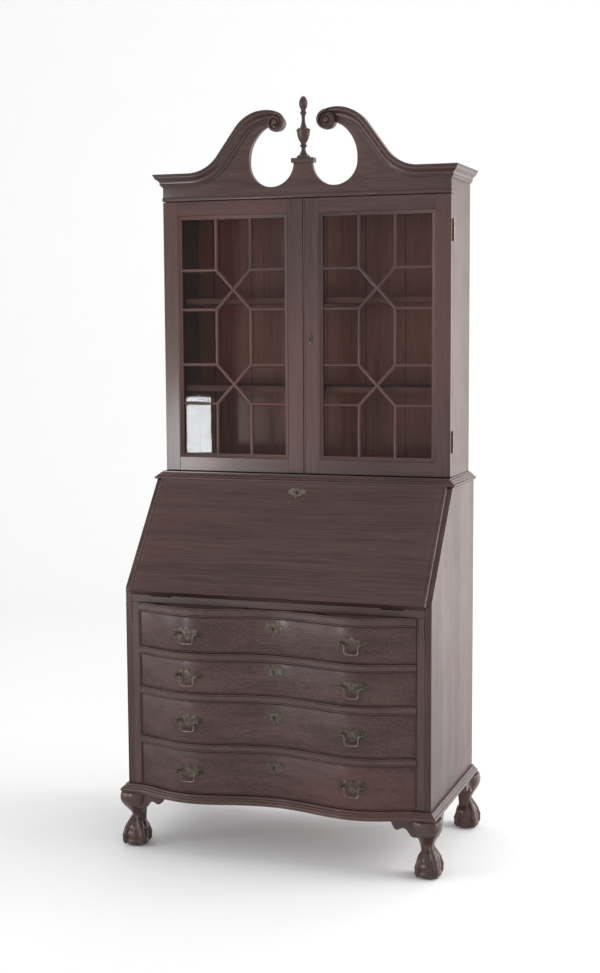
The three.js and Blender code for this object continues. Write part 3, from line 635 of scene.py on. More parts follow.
def neck(inset=0.0):
    """The swan neck's upper edge from the level crown to the scroll, moved inwards by an inset."""
    between = NECK_LOW - NECK_HIGH
    meet = math.atan2(between.y, between.x) + math.acos(2 * NECK_RADIUS / between.length)
    points = []
    for i in range(NECK_STEPS + 1):
        angle = -math.pi / 2 - (math.pi / 2 - meet) * i / NECK_STEPS
        radius = NECK_RADIUS + inset
        points.append((NECK_LOW.x + radius * math.cos(angle), NECK_LOW.y + radius * math.sin(angle)))
    end = math.radians(104)
    for i in range(NECK_STEPS + 1):
        angle = meet + (end - meet) * i / NECK_STEPS
        radius = NECK_RADIUS - inset
        points.append((NECK_HIGH.x + radius * math.cos(angle), NECK_HIGH.y + radius * math.sin(angle)))
    return points


def pediment_board():
    """The board behind the crowns, with its two round scoops and the neck of the plinth between them."""
    top = CROWN_TOP + 0.0205
    scoop = (0.092, CROWN_TOP + 0.022)
    half = [(0.026, top)]
    half += arc(scoop, 0.066, 190, 360, 36)
    half += arc((0.053, scoop[1] + 0.008), 0.105, 4, 54, 14)
    half += arc(SCROLL, SCROLL_RADIUS - 0.004, -10, -250, 24)
    half += neck(0.008)[::-1]
    half += [(HALF_BOOK, CROWN_TOP - 0.008), (HALF_BOOK, FRIEZE_FLOOR)]
    outline = half + [(-x, z) for x, z in reversed(half)]
    board = stood(sawn([outline], BOARD_THICK, 0.0007), BOOK_FACE + BOARD_THICK)
    return settle(board, "pediment_board_shaped", 35)


def plinth_cap():
    """The small moulded cap under the finial."""
    floor = CROWN_TOP + 0.0195
    front, back = BOOK_FACE + 0.001, BOOK_FACE + BOARD_THICK - 0.001
    half = PLINTH_HALF
    ring = [(-half, front), (half, front), (half, back), (-half, back)]
    profile = [
        (-0.004, 0.0),
        (0.0005, 0.0),
        *arc((0.0012, 0.0018), 0.0016, -90, 60, 5),
        *ogee((0.0022, 0.0036), (0.0100, 0.0090), 7),
        (0.0112, 0.0094),
        *arc((0.0112, 0.0112), 0.0016, -70, 80, 6),
        (-0.004, 0.0128),
    ]
    cap = moulding(ring, profile, True)
    cap.location.z = floor
    core = block((-half, front, floor + 0.0002), (half, back, floor + 0.0126))
    return join([cap, core], "plinth_cap_moulded", 35)


def frieze_bead():
    """The rounded strip along the lower edge of the pediment board."""
    reach = 0.0038
    bead = block(
        (-HALF_BOOK - 0.0018, BOOK_FACE - reach, FRIEZE_FLOOR + 0.0002),
        (HALF_BOOK + 0.0018, BOOK_FACE + BOARD_THICK, FRIEZE_FLOOR + 0.0118),
        0.0036,
        4,
    )
    return settle(bead, "frieze_bead_rounded", CRISP)


def mitre(piece, point, normal):
    """Cuts a moulding off at a slanting plane and closes the cut; what lies on the normal's side goes."""
    only(piece)
    apply_place()
    open_mesh(piece)
    bpy.ops.mesh.remove_doubles(threshold=MERGE)
    bpy.ops.mesh.select_all(action="SELECT")
    bpy.ops.mesh.bisect(plane_co=point, plane_no=normal, use_fill=True, clear_outer=True)
    close_mesh()


def crown():
    """The right-hand crown: level along the side, round the corner, up the swan neck to its rosette."""
    profile = crown_profile()
    path = neck()[::-1]
    count = len(path)
    radii = [0.72 + 0.28 * min(i / (count * 0.22), 1.0) for i in range(count)]
    path.append((HALF_BOOK + 0.05, CROWN_TOP))
    radii.append(1.0)
    front = stood(moulding(path, profile, False, radii), BOOK_FACE)
    corner = (HALF_BOOK, BOOK_FACE, CROWN_TOP)
    mitre(front, corner, (1, 1, 0))
    side_path = [(HALF_BOOK, BOOK_FACE - 0.05), (HALF_BOOK, BACK)]
    side = moulding(side_path, [(out, -down) for down, out in profile])
    side.location.z = CROWN_TOP
    mitre(side, corner, (-1, -1, 0))
    return join([front, side], "right_crown_moulded", 35)


def rosette():
    """The curled end of the swan neck: a dished disc with a tapering curl run round it."""
    face = BOOK_FACE - 0.0165
    disc = turned(
        [
            (0.0, 0.0),
            (0.0245, 0.0),
            (0.0245, 0.0125),
            (0.0235, 0.0150),
            (0.0210, 0.0158),
            (0.0120, 0.0165),
            (0.0090, 0.0175),
            (0.0082, 0.0215),
            (0.0066, 0.0245),
            (0.0035, 0.0262),
            (0.0, 0.0266),
        ],
        (SCROLL.x, BOOK_FACE - 0.0003, SCROLL.y),
        "Y",
        56,
    )
    steps = 88
    curl = []
    radii = []
    for i in range(steps + 1):
        share = i / steps
        angle = math.radians(84 + 560 * share)
        radius = 0.0262 - 0.0158 * share**0.85
        curl.append((SCROLL.x + radius * math.cos(angle), SCROLL.y + radius * math.sin(angle)))
        radii.append(1.0 - 0.62 * share)
    half = 0.0042
    ridge = [(-half, -0.004), (half, -0.004), (half, 0.0045)]
    ridge += [*arc((0, 0.0045), half, 20, 160, 8), (-half, 0.0045)]
    curl_piece = stood(moulding(curl, ridge, False, radii), face)
    return join([disc, curl_piece], "right_rosette_carved", 38)


def finial():
    """A lathe-turned urn with a lip, a slim neck and a pointed, ringed bud: shares of radius and height."""
    table = [
        (0.0, 0.0),
        (0.88, 0.0),
        (0.96, 0.012),
        (0.92, 0.032),
        (0.62, 0.05),
        (0.52, 0.07),
        (0.34, 0.11),
        (0.30, 0.15),
        (0.34, 0.17),
        (0.50, 0.185),
        (0.48, 0.205),
        (0.36, 0.222),
        (0.46, 0.25),
        (0.70, 0.30),
        (0.86, 0.36),
        (0.93, 0.41),
        (0.99, 0.44),
        (0.97, 0.458),
        (0.82, 0.472),
        (0.52, 0.49),
        (0.34, 0.54),
        (0.26, 0.60),
        (0.25, 0.65),
        (0.30, 0.69),
        (0.44, 0.715),
        (0.46, 0.735),
        (0.34, 0.755),
        (0.36, 0.78),
        (0.52, 0.82),
        (0.61, 0.87),
        (0.58, 0.91),
        (0.44, 0.955),
        (0.22, 0.988),
        (0.0, 1.0),
    ]
    radius = (FINIAL_HIGH.x - FINIAL_LOW.x) / 2
    height = FINIAL_HIGH.z - FINIAL_LOW.z
    profile = [(max(r, 0.0) * radius, h * height) for r, h in flowing(table, 3)]
    centre = (0, (FINIAL_LOW.y + FINIAL_HIGH.y) / 2, FINIAL_LOW.z)
    return settle(turned(profile, centre), "finial_turned", 45)


# ---------- bookcase doors ----------

SIGHT_LEFT = 0.056
SIGHT_RIGHT = HALF_BOOK - 0.054
SIGHT_LOW = DOOR_LOW.z + 0.050
SIGHT_HIGH = DOOR_HIGH.z - 0.050
STICKING = 0.011
BAR_FRONT = 0.006
BAR_DEPTH = 0.008
BAR_HALF = 0.0050
BAR_TUCK = 0.003  # how far a bar's end runs in under the moulded edge
CROSSING_NEAR, CROSSING_FAR = 0.078, 0.189  # from the door's middle to the ends of a diagonal pair
DOOR_LOCK = (0.0205, 0, 1.418)


def door_boards():
    """Stiles with upright grain, and the rails between them, as two pieces of the right-hand door."""
    front, back = DOOR_LOW.y, DOOR_HIGH.y
    low, high = DOOR_LOW.z, DOOR_HIGH.z
    left, right = SIGHT_LEFT - STICKING, SIGHT_RIGHT + STICKING
    stiles = [
        block((DOOR_LOW.x, front, low), (left, back, high), 0.0009),
        block((right, front, low), (DOOR_HIGH.x, back, high), 0.0009),
    ]
    rails = [
        block((left + 0.0001, front + 0.0001, low), (right - 0.0001, back, SIGHT_LOW - STICKING), 0.0006),
        block((left + 0.0001, front + 0.0001, SIGHT_HIGH + STICKING), (right - 0.0001, back, high), 0.0006),
    ]
    return join(stiles, "right_door_stiles", CRISP), join(rails, "right_door_rails", CRISP)


def door_sticking():
    """The moulded inner edge of the frame."""
    left, right = SIGHT_LEFT - STICKING, SIGHT_RIGHT + STICKING
    low, high = SIGHT_LOW - STICKING, SIGHT_HIGH + STICKING
    ring = [(left, low), (left, high), (right, high), (right, low)]
    thick = DOOR_HIGH.y - DOOR_LOW.y
    profile = [
        (0.0, 0.0005),
        (0.0, thick - 0.0022),
        *arc((0.0020, thick - 0.0012), 0.0020, 200, 10, 8),
        (0.0042, thick - 0.0024),
        *[(a, b) for b, a in ogee((thick - 0.0026, 0.0046), (thick - 0.0052, 0.0102), 8)],
        (STICKING, thick - 0.0054),
        (STICKING, 0.0005),
    ]
    return settle(stood(moulding(ring, profile, True), DOOR_HIGH.y), "right_door_sticking", 35)


def door_bars():
    """Glazing bars: two uprights at the thirds that cross in two diagonal pairs."""
    third = (SIGHT_RIGHT - SIGHT_LEFT) / 3
    left = SIGHT_LEFT + third
    right = SIGHT_RIGHT - third
    middle = (SIGHT_LOW + SIGHT_HIGH) / 2
    runs = []
    for up in (-1, 1):
        a, b = middle + up * CROSSING_NEAR, middle + up * CROSSING_FAR
        end = (SIGHT_HIGH + BAR_TUCK) if up > 0 else (SIGHT_LOW - BAR_TUCK)
        runs.append([(left, end), (left, b), (right, a), (right, middle)])
        runs.append([(right, end), (right, b), (left, a), (left, middle)])
        for level in (a, b):
            runs.append([(SIGHT_LEFT - BAR_TUCK, level), (left, level)])
            runs.append([(right, level), (SIGHT_RIGHT + BAR_TUCK, level)])
    profile = [
        (-BAR_HALF, 0.0),
        (-BAR_HALF, 0.0030),
        (-BAR_HALF + 0.0006, 0.0034),
        *arc((0, 0.0034), 0.0044, 165, 15, 10),
        (BAR_HALF - 0.0006, 0.0034),
        (BAR_HALF, 0.0030),
        (BAR_HALF, 0.0),
    ]
    bars = [stood(moulding(run, profile), DOOR_LOW.y + BAR_FRONT + BAR_DEPTH) for run in runs]
    return join(bars, "right_door_bars", 35)


def meeting_bead():
    """A slim half-round strip on the edge of the right-hand door, where the two doors meet."""
    bead = 0.0022
    path = [(0.0, DOOR_LOW.z + 0.0002), (0.0, DOOR_HIGH.z - 0.0002)]
    profile = [(-bead, 0.0), *arc((0, 0.0002), bead, 170, 10, 10), (bead, 0.0)]
    strip = stood(moulding(path, profile), DOOR_LOW.y + 0.0001)
    strip.location.x = DOOR_LOW.x + bead + 0.0002
    return settle(strip, "door_meeting_bead", 35)


# ---------- plates and pulls ----------


def batwing(width, height, drop):
    """Half of a shaped brass plate's outline, from the top middle round to the bottom middle."""
    w, h = width / 2, height / 2
    return [
        (0.0, h),
        (0.08 * w, 0.93 * h),
        (0.17 * w, 0.70 * h),
        (0.30 * w, 0.62 * h),
        (0.42 * w, 0.80 * h),
        (0.56 * w, 0.84 * h),
        (0.66 * w, 0.62 * h),
        (0.74 * w, 0.44 * h),
        (0.88 * w, 0.50 * h),
        (1.0 * w, 0.36 * h),
        (0.94 * w, 0.16 * h),
        (0.84 * w, 0.02 * h),
        (0.92 * w, -0.16 * h),
        (0.86 * w, -0.36 * h),
        (0.70 * w, -0.34 * h),
        (0.58 * w, -0.46 * h),
        (0.50 * w, -0.70 * h),
        (0.36 * w, -0.74 * h),
        (0.24 * w, -0.66 * h),
        (0.14 * w, -0.84 * h),
        (0.0, -h - drop),
    ]


def plate_outline(width, height, drop=0.0):
    """The whole outline; drop is how much further its lower point hangs."""
    half = flowing(batwing(width, height, drop), 4)
    return half + [(-x, z) for x, z in reversed(half[1:-1])]


def keyhole(size):
    """Keyhole outline: a round eye over a flared slot."""
    points = arc((0, 0), size * 0.5, -62, 242, 20)
    return points + [(-size * 0.34, -size * 1.55), (size * 0.34, -size * 1.55)]


def rod(line, thick, rounds):
    """A round rod through the points (x, y, z, share of its radius)."""
    data = bpy.data.curves.new("rod", "CURVE")
    data.dimensions = "3D"
    data.bevel_depth = thick
    data.bevel_resolution = rounds
    data.use_fill_caps = True
    spline = data.splines.new("POLY")
    spline.points.add(len(line) - 1)
    for point, (x, y, z, share) in zip(spline.points, line):
        point.co = (x, y, z, 1)
        point.radius = share
    curve = bpy.data.objects.new("rod", data)
    bpy.context.scene.collection.objects.link(curve)
    return made_mesh(curve)


def bail_box(i):
    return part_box(f"drawer_{i}_right_bail")


BAIL_LOW, BAIL_HIGH = bail_box(1)
PIVOT_Y = (BAIL_LOW.y + BAIL_HIGH.y) / 2
PIVOT_DROP = 0.0018  # from a bail's top down to its pivot line
POST_SPACING = 0.062
LOCK_RISE = 0.022  # from a drawer front's middle up to its keyhole


def backplate():
    """Shaped backplate that follows the drawer's curve, with a pressed edge line."""
    thick, edge = 0.0014, 0.0004
    sizes = bpy.context.scene.desk_sizes
    outline = plate_outline(sizes.plate_width, sizes.plate_height)
    inner = [(x * 0.86, z * 0.74) for x, z in outline]
    plates = [sawn([outline], thick, edge), sawn([inner], thick + 0.0005, edge)]
    for piece in plates:
        stood(piece, FRONT + 0.0002)
        piece.location.x = PULL_X
        apply_place()
        bend_to_front(piece, None, 36)
    return join(plates, "backplate", 35)


def pull_post(x):
    """A turned post with a rose at its root and a round head, from the drawer to the bail."""
    reach = FRONT - swell(x) - PIVOT_Y
    profile = [
        (0.0, -0.003),
        (0.0072, -0.003),
        (0.0072, 0.0016),
        (0.0066, 0.0026),
        (0.0046, 0.0034),
        (0.0030, 0.0044),
        (0.0026, reach * 0.6),
        (0.0030, reach - 0.0036),
        (0.0046, reach - 0.0028),
        (0.0054, reach - 0.0010),
        (0.0055, reach + 0.0008),
        (0.0046, reach + 0.0028),
        (0.0026, reach + 0.0040),
        (0.0, reach + 0.0044),
    ]
    return turned(profile, (x, FRONT - swell(x), 0), "Y", 28)


def bail():
    """A swelled bail: thin at its ends, turned out at the shoulders and thickest in the middle."""
    reach = POST_SPACING / 2 - 0.0062
    drop = 0.027
    half = [
        (0.0, -drop, 1.28),
        (0.0095, -drop, 1.22),
        (0.0150, -drop + 0.0010, 1.05),
        (0.0182, -drop + 0.0042, 0.92),
        (0.0190, -0.0170, 0.86),
        (0.0191, -0.0100, 0.86),
        (0.0203, -0.0045, 0.88),
        (0.0230, -0.0010, 0.95),
        (reach, 0.0, 1.0),
    ]
    line = flowing([(-x, z, r) for x, z, r in reversed(half[1:])] + half, 5)
    line = [(PULL_X + x, PIVOT_Y, z, share) for x, z, share in line]
    return settle(rod(line, bpy.context.scene.desk_sizes.bail / 2, 4), "bail", 50)


def escutcheon(width, height, drop, size, name):
    """A keyhole plate lying flat on z = 0 and facing up, with its hole, and a near-black sheet of painted
    shade in it.
    """
    outline = plate_outline(width, height, drop)
    hole = keyhole(size)
    edge = 0.0004
    rim = [(x * 1.5, z * 1.25 + size * 0.12) for x, z in hole]
    plate = join([sawn([outline, hole], 0.0013, edge), sawn([rim, hole], 0.0021, edge)], name, 35)
    # the near-black sheet in the hole is painted shade
    dark = sawn([[(x * 1.3, z * 1.15) for x, z in hole]], 0.0006)
    dark = settle(dark, name + "_hole", 0)
    return plate, dark


# ---------- drawer fronts ----------


def drawer_front(i):
    """A solid front sawn to the oxbow line, its arrises eased."""
    low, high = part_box(f"drawer_{i}_front")
    board = block((low.x, FRONT, low.z), (high.x, high.y, high.z), 0.0012, 3)
    bend_to_front(board, FRONT + 0.006, DRAWER_STEPS)
    return settle(board, f"drawer_{i}_face", CRISP)


def cock_bead(i):
    """A fine raised bead round the edge of a drawer front."""
    low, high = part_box(f"drawer_{i}_front")
    ring = [(low.x, low.z), (low.x, high.z), (high.x, high.z), (high.x, low.z)]
    wide = bpy.context.scene.desk_sizes.bead
    stand = 0.0022
    profile = [
        (0.0002, 0.0),
        (0.0002, stand),
        *arc((wide / 2, stand), wide / 2, 165, 15, 6),
        (wide, stand),
        (wide, 0.0),
    ]
    bead = stood(moulding(ring, profile, True), FRONT + 0.0005)
    settle(bead, f"drawer_{i}_bead", 35)
    bend_to_front(bead, None, DRAWER_STEPS)
    return settle(bead, f"drawer_{i}_bead", 35)


# ---------- case mouldings ----------


def base_moulding():
    """Back to front on the left, along the oxbow, and back again."""
    corner = HALF_CASE - 0.003
    line = oxbow(OPEN - 0.0003, 0.0)
    path = [(-corner, BACK), (-corner, FRONT), *line, (corner, FRONT), (corner, BACK)]
    piece = moulding(path, base_profile())
    piece.location.z = BASE_FLOOR
    return settle(piece, "base_moulding_run", 35)


def waist_moulding():
    reach = WAIST_HIGH.x - HALF_CASE
    front = WAIST_LOW.y + reach
    line = [(-HALF_CASE, BACK), (-HALF_CASE, front), (HALF_CASE, front), (HALF_CASE, BACK)]
    piece = moulding(line, waist_profile(reach))
    piece.location.z = WAIST_LOW.z
    return settle(piece, "waist_moulding_run", 35)


def blade_nosing(name, low_z, high_z):
    """Beaded front edge of a drawer blade, following the oxbow."""
    thick = high_z - low_z
    piece = moulding(oxbow(OPEN - 0.0004, 0.0), beaded_edge(thick))
    piece.location.z = low_z
    return settle(piece, name, 35)


# ---------- the fall ----------

SLOPE = math.radians(51.5)
LID_THICK = 0.020
LID_REBATE = 0.0112  # thickness of the part that goes in between the sides
LID_BODY = 0.417
LID_START = 0.0005
LIP_WIDE = 0.026
LID_LENGTH = (CASE_HIGH.z - 0.0025 - PIVOT) / math.sin(SLOPE)
LID_LOCK = 0.042  # from the fall's top edge down to its keyhole


def on_slope(piece, name, smooth=35):
    """Lays a piece that was made flat, x across and y up the slope, on the closed fall's inner face."""
    only(piece)
    apply_place()
    lean = Matrix.Translation((0, FRONT, PIVOT)) @ Matrix.Rotation(SLOPE, 4, "X")
    piece.data.transform(lean)
    return settle(piece, name, smooth)


def lid_panel():
    """The fall's board: a rebated body and the flat field inside the lip."""
    body = block((-LID_BODY, LID_START, 0.0), (LID_BODY, LID_LENGTH, LID_REBATE), 0.0006)
    inside = HALF_LID - LIP_WIDE
    field = block((-inside, LID_START, LID_REBATE), (inside, LID_LENGTH - LIP_WIDE, LID_THICK))
    return on_slope(join([body, field], "fall_board", CRISP), "fall_board", CRISP)


def lid_edge():
    """Thumbnail-moulded lip round the two ends and the top of the fall."""
    path = [(HALF_LID, LID_START), (HALF_LID, LID_LENGTH), (-HALF_LID, LID_LENGTH), (-HALF_LID, LID_START)]
    top = LID_THICK
    profile = [
        (0.0, 0.0124),
        (-LIP_WIDE, 0.0124),
        (-LIP_WIDE, top),
        (-0.0125, top),
        (-0.0121, top - 0.0014),
        (-0.0098, top - 0.0016),
        *arc((-0.0086, top - 0.0072), 0.0064, 98, 4, 10),
        (-0.0010, 0.0130),
        (0.0, 0.0128),
    ]
    return on_slope(moulding(path, profile), "fall_lip")


# ---------- claw-and-ball feet ----------

BALL = 0.033
BALL_FLAT = 0.0015
ANKLE_FLOOR = BALL + 0.006
FOOT_TOP = 0.1597
CORNER_INSET = 0.014  # from the case's corner to the leg's centre line
BRACKET_THICK = 0.022
BRACKET_BACK = 0.013 - BRACKET_THICK  # from the case's face to a bracket's back
CARVING = 0.0016  # how fine the feet are carved
FACING_SIDE = Matrix(((0, 0, 1, 0), (1, 0, 0, 0), (0, 1, 0, 0), (0, 0, 0, 1)))
FACING_FRONT = Matrix(((1, 0, 0, 0), (0, 0, 1, 0), (0, 1, 0, 0), (0, 0, 0, 1)))


def egg(centre, radii, turn=0.0):
    """A round swelling, longer or flatter than a ball."""
    deselect()
    bpy.ops.mesh.primitive_uv_sphere_add(segments=32, ring_count=20, location=centre)
    piece = bpy.context.object
    piece.scale = radii
    piece.rotation_euler = (0, 0, turn)
    apply_place()
    return piece


def cabriole(knee, foot):
    """A short cabriole leg, its diagonal to -X -Y, swelling at the knee and slim at the ankle.

    Its sections are (half its width, how far it leans out, share of its height).
    """
    sections = [
        (0.0440, -0.0020, 1.0),
        (0.0450, 0.0, 0.93),
        (0.0450, 0.0010, 0.85),
        (0.0420, 0.0020, 0.76),
        (0.0360, 0.0015, 0.66),
        (0.0290, -0.0005, 0.56),
        (0.0232, -0.0030, 0.46),
        (0.0195, -0.0048, 0.34),
        (0.0188, -0.0046, 0.22),
        (0.0210, -0.0024, 0.11),
        (0.0250, 0.0, 0.0),
    ]
    sides = 40
    rings = flowing(sections, 3)
    places = []
    for half, out, share in rings:
        z = ANKLE_FLOOR + (FOOT_TOP - ANKLE_FLOOR) * share
        t = min(max((share - 0.32) / 0.56, 0.0), 1.0)
        line = foot.lerp(knee, t * t * (3 - 2 * t))
        for i in range(sides):
            angle = math.tau * i / sides
            along, across = math.cos(angle), math.sin(angle)
            square = 1 / (abs(along) ** 1.5 + abs(across) ** 1.5) ** (1 / 1.5)
            u = out + half * along * square
            v = half * across * square
            places.append((line.x + (-u - v) * math.sqrt(0.5), line.y + (-u + v) * math.sqrt(0.5), z))
    deselect()
    bpy.ops.mesh.primitive_cylinder_add(vertices=sides, radius=0.02, depth=1.0, end_fill_type="NGON")
    piece = bpy.context.object
    last = len(rings) - 1
    slices(piece, [0.5 - i / last for i in range(1, last)], "Z")
    for vertex in piece.data.vertices:
        ring = round((0.5 - vertex.co.z) * last)
        turn = math.atan2(vertex.co.y, vertex.co.x) % math.tau
        vertex.co = places[ring * sides + round(turn / math.tau * sides) % sides]
    return piece


def knee_bracket():
    """The scalloped bracket beside a knee, flat on z = 0: along x from the case corner, y for height."""
    top = FOOT_TOP
    reach = 0.112
    foot = top - 0.047
    line = [
        (reach, top - 0.006),
        (reach - 0.004, top - 0.010),
        (reach - 0.008, top - 0.018),
        (reach - 0.013, top - 0.027),
        (reach - 0.021, top - 0.031),
        (reach - 0.029, top - 0.028),
        (reach - 0.037, top - 0.0245),
        (reach - 0.045, top - 0.0265),
        (reach - 0.051, top - 0.033),
        (reach - 0.056, top - 0.0405),
        (reach - 0.061, top - 0.0455),
        (reach - 0.066, foot),
    ]
    outline = [(0.030, top), (reach, top)] + flowing(line, 3) + [(0.030, foot)]
    return sawn([outline], BRACKET_THICK, 0.0032, 3)


def toe(centre, angle):
    """One claw: a jointed toe that runs down from the ankle and closes on the ball, with its knuckles."""
    ray = Vector((math.cos(angle), math.sin(angle), 0))

    def at(out, z):
        return centre + ray * out + Vector((0, 0, z - centre.z))

    knots = [
        (0.0070, 0.0840, 0.0070),
        (0.0130, 0.0730, 0.0084),
        (0.0200, 0.0620, 0.0094),
        (0.0270, 0.0510, 0.0094),
        (0.0325, 0.0410, 0.0080),
        (0.0360, 0.0315, 0.0080),
        (0.0370, 0.0230, 0.0070),
        (0.0366, 0.0160, 0.0070),
        (0.0350, 0.0100, 0.0062),
        (0.0325, 0.0060, 0.0050),
    ]
    pieces = [rod(flowing([(*at(out, z), radius) for out, z, radius in knots], 5), 1.0, 3)]
    for out, z, size in ((0.0272, 0.0505, 0.0102), (0.0358, 0.0310, 0.0090), (0.0362, 0.0150, 0.0078)):
        pieces.append(egg(at(out, z), (size, size * 0.92, size * 0.8), angle))
    return pieces


def carved_foot(inset, front_bracket):
    """Leg, ball, four jointed claws and brackets, carved into one."""
    knee = Vector((-HALF_CASE + CORNER_INSET, CORNER_INSET))
    foot = Vector((-HALF_CASE + CORNER_INSET, inset))
    centre = Vector((foot.x - 0.003, foot.y - 0.003, BALL - BALL_FLAT))
    pieces = [
        cabriole(knee, foot),
        egg(centre - Vector((0, 0, 0.003)), (BALL * 0.98, BALL * 0.98, BALL * 0.89)),
        egg((foot.x - 0.001, foot.y - 0.001, 0.043), (0.0310, 0.0310, 0.0320)),
        egg((centre.x, centre.y, 0.012), (0.0335, 0.0335, 0.0165)),
    ]
    for i in range(4):
        pieces += toe(centre, math.pi / 4 + math.pi / 2 * i)
    side = knee_bracket()
    side.data.transform(Matrix.Translation((-HALF_CASE + BRACKET_BACK, 0, 0)) @ FACING_SIDE)
    pieces.append(side)
    if front_bracket:
        front = knee_bracket()
        front.data.transform(Matrix.Translation((-HALF_CASE, BRACKET_BACK, 0)) @ FACING_FRONT)
        pieces.append(front)
    made = join(pieces, "foot", 0)
    modify(made, "REMESH", mode="VOXEL", voxel_size=CARVING)
    modify(made, "SMOOTH", factor=0.5, iterations=3)
    mitre(made, (0, 0, 0.0002), (0, 0, -1))
    mitre(made, (0, 0, FOOT_TOP - 0.0001), (0, 0, 1))
    return made


# ---------- what a user may change ----------


class DESK_PG_finish(bpy.types.PropertyGroup):
    dark: FloatVectorProperty(
        name="Dark wood",
        description="Colour of the dark lines in the polished mahogany",
        subtype="COLOR",
        size=3,
        min=0.0,
        max=1.0,
        default=(0.036, 0.0195, 0.018),
    )
    light: FloatVectorProperty(
        name="Light wood",
        description="Colour of the lightest ribbons in the polished mahogany",
        subtype="COLOR",
        size=3,
        min=0.0,
        max=1.0,
        default=(0.096, 0.049, 0.0435),
    )
    brass: FloatVectorProperty(
        name="Brass",
        description="Colour of the brasses where they are rubbed bright",
        subtype="COLOR",
        size=3,
        min=0.0,
        max=1.0,
        default=(0.108, 0.090, 0.072),
    )
    gloss: FloatProperty(
        name="Polish",
        description="Roughness of the polished wood",
        subtype="FACTOR",
        min=0.05,
        max=1.0,
        default=0.34,
    )


class DESK_PG_sizes(bpy.types.PropertyGroup):
    ease: FloatProperty(
        name="Eased edges",
        description="Width of the easing on the edges of the case boards",
        unit="LENGTH",
        min=0.0001,
        max=0.002,
        default=0.0008,
    )
    bead: FloatProperty(
        name="Drawer bead",
        description="Width of the fine bead round each drawer front",
        unit="LENGTH",
        min=0.001,
        max=0.005,
        default=0.0026,
    )
    bail: FloatProperty(
        name="Bail",
        description="Thickness of each pull's swinging bail, near its ends",
        unit="LENGTH",
        min=0.002,
        max=0.006,
        default=0.0038,
    )
    plate_width: FloatProperty(
        name="Backplate width",
        description="Width of the shaped plate behind each pull",
        unit="LENGTH",
        min=0.07,
        max=0.1,
        default=0.080,
    )
    plate_height: FloatProperty(
        name="Backplate height",
        description="Height of the shaped plate behind each pull",
        unit="LENGTH",
        min=0.02,
        max=0.06,
        default=0.040,
    )


class DESK_PG_stage(bpy.types.PropertyGroup):
    backdrop: FloatVectorProperty(
        name="Floor and backdrop",
        description="Colour of the plain floor and backdrop",
        subtype="COLOR",
        size=3,
        min=0.0,
        max=1.0,
        default=(0.93, 0.93, 0.93),
    )
    window: FloatProperty(
        name="Window",
        description="Power of the large soft light on the right",
        unit="POWER",
        min=0.0,
        default=110.0,
    )
    fill: FloatProperty(
        name="Fill",
        description="Power of the soft light on the left front",
        unit="POWER",
        min=0.0,
        default=55.0,
    )
    glow: FloatProperty(
        name="Glow",
        description="Power of the soft light behind the right side, which shows in its polish",
        unit="POWER",
        min=0.0,
        default=19.0,
    )
    pane: FloatProperty(
        name="Far window",
        description="Power of the small light that shows in the lower left panes",
        unit="POWER",
        min=0.0,
        default=23.0,
    )
    lens: FloatProperty(
        name="Lens",
        description="Focal length of the camera, in millimetres",
        unit="CAMERA",
        min=10.0,
        default=57.64,
    )


# ---------- operators ----------


def eased(board):
    """Eases the edges of a board that is kept as cut."""
    weld = board.modifiers.new("Weld", "WELD")
    weld.merge_threshold = 0.00005
    bevel = board.modifiers.new("Bevel", "BEVEL")
    bevel.width = bpy.context.scene.desk_sizes.ease
    bevel.segments = 2
    bevel.limit_method = "ANGLE"
    bevel.angle_limit = math.radians(50)
    bevel.use_clamp_overlap = True


class DESK_OT_boards(bpy.types.Operator):
    """Give the boards that are kept as cut their grain and polish"""

    bl_idname = "desk.boards"
    bl_label = "Case boards"
    bl_options = {"REGISTER", "UNDO"}

    def execute(self, context):
        cheeks = ("left_side", "right_side", "bookcase_left_side", "bookcase_right_side")
        finish_nodes(mahogany("Z", ribbon=0.35), *cheeks)
        finish_nodes(mahogany("Z"), "left_post", "right_post")
        blades = [f"blade_{i}" for i in (1, 2, 3)]
        finish_nodes(mahogany("X"), "top_rail", "writing_bed", "desk_top", *blades, "bottom_board")
        dark, light = (0.045, 0.015, 0.011), (0.12, 0.04, 0.03)
        shelf = wood("shelf_wood", dark, light, "X", gloss=0.65, coat=0.0, red=0.4)
        finish_nodes(shelf, "lower_shelf", "upper_shelf", "bookcase_bottom", "bookcase_top")
        finish_nodes(mahogany("Y"), "left_loper", "right_loper")
        dark, light = (0.100, 0.026, 0.017), (0.27, 0.074, 0.048)
        back = wood("back_planks", dark, light, "Z", gloss=0.5, coat=0.1, boards=0.118, red=0.4)
        finish_nodes(back, "bookcase_back")
        dark, light = (0.060, 0.028, 0.019), (0.17, 0.082, 0.052)
        back = wood("desk_back_planks", dark, light, "Z", gloss=0.6, coat=0.0, boards=0.14, red=0.2)
        finish_nodes(back, "desk_back")
        finish_nodes(drawer_wood(), "pigeonholes", *[f"drawer_{i}_box" for i in range(1, 5)])
        lopers, shelves = ("left_loper", "right_loper"), ("lower_shelf", "upper_shelf")
        for name in (*cheeks, "top_rail", "writing_bed", *lopers, *shelves):
            eased(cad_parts[name])
        deselect()
        return {"FINISHED"}


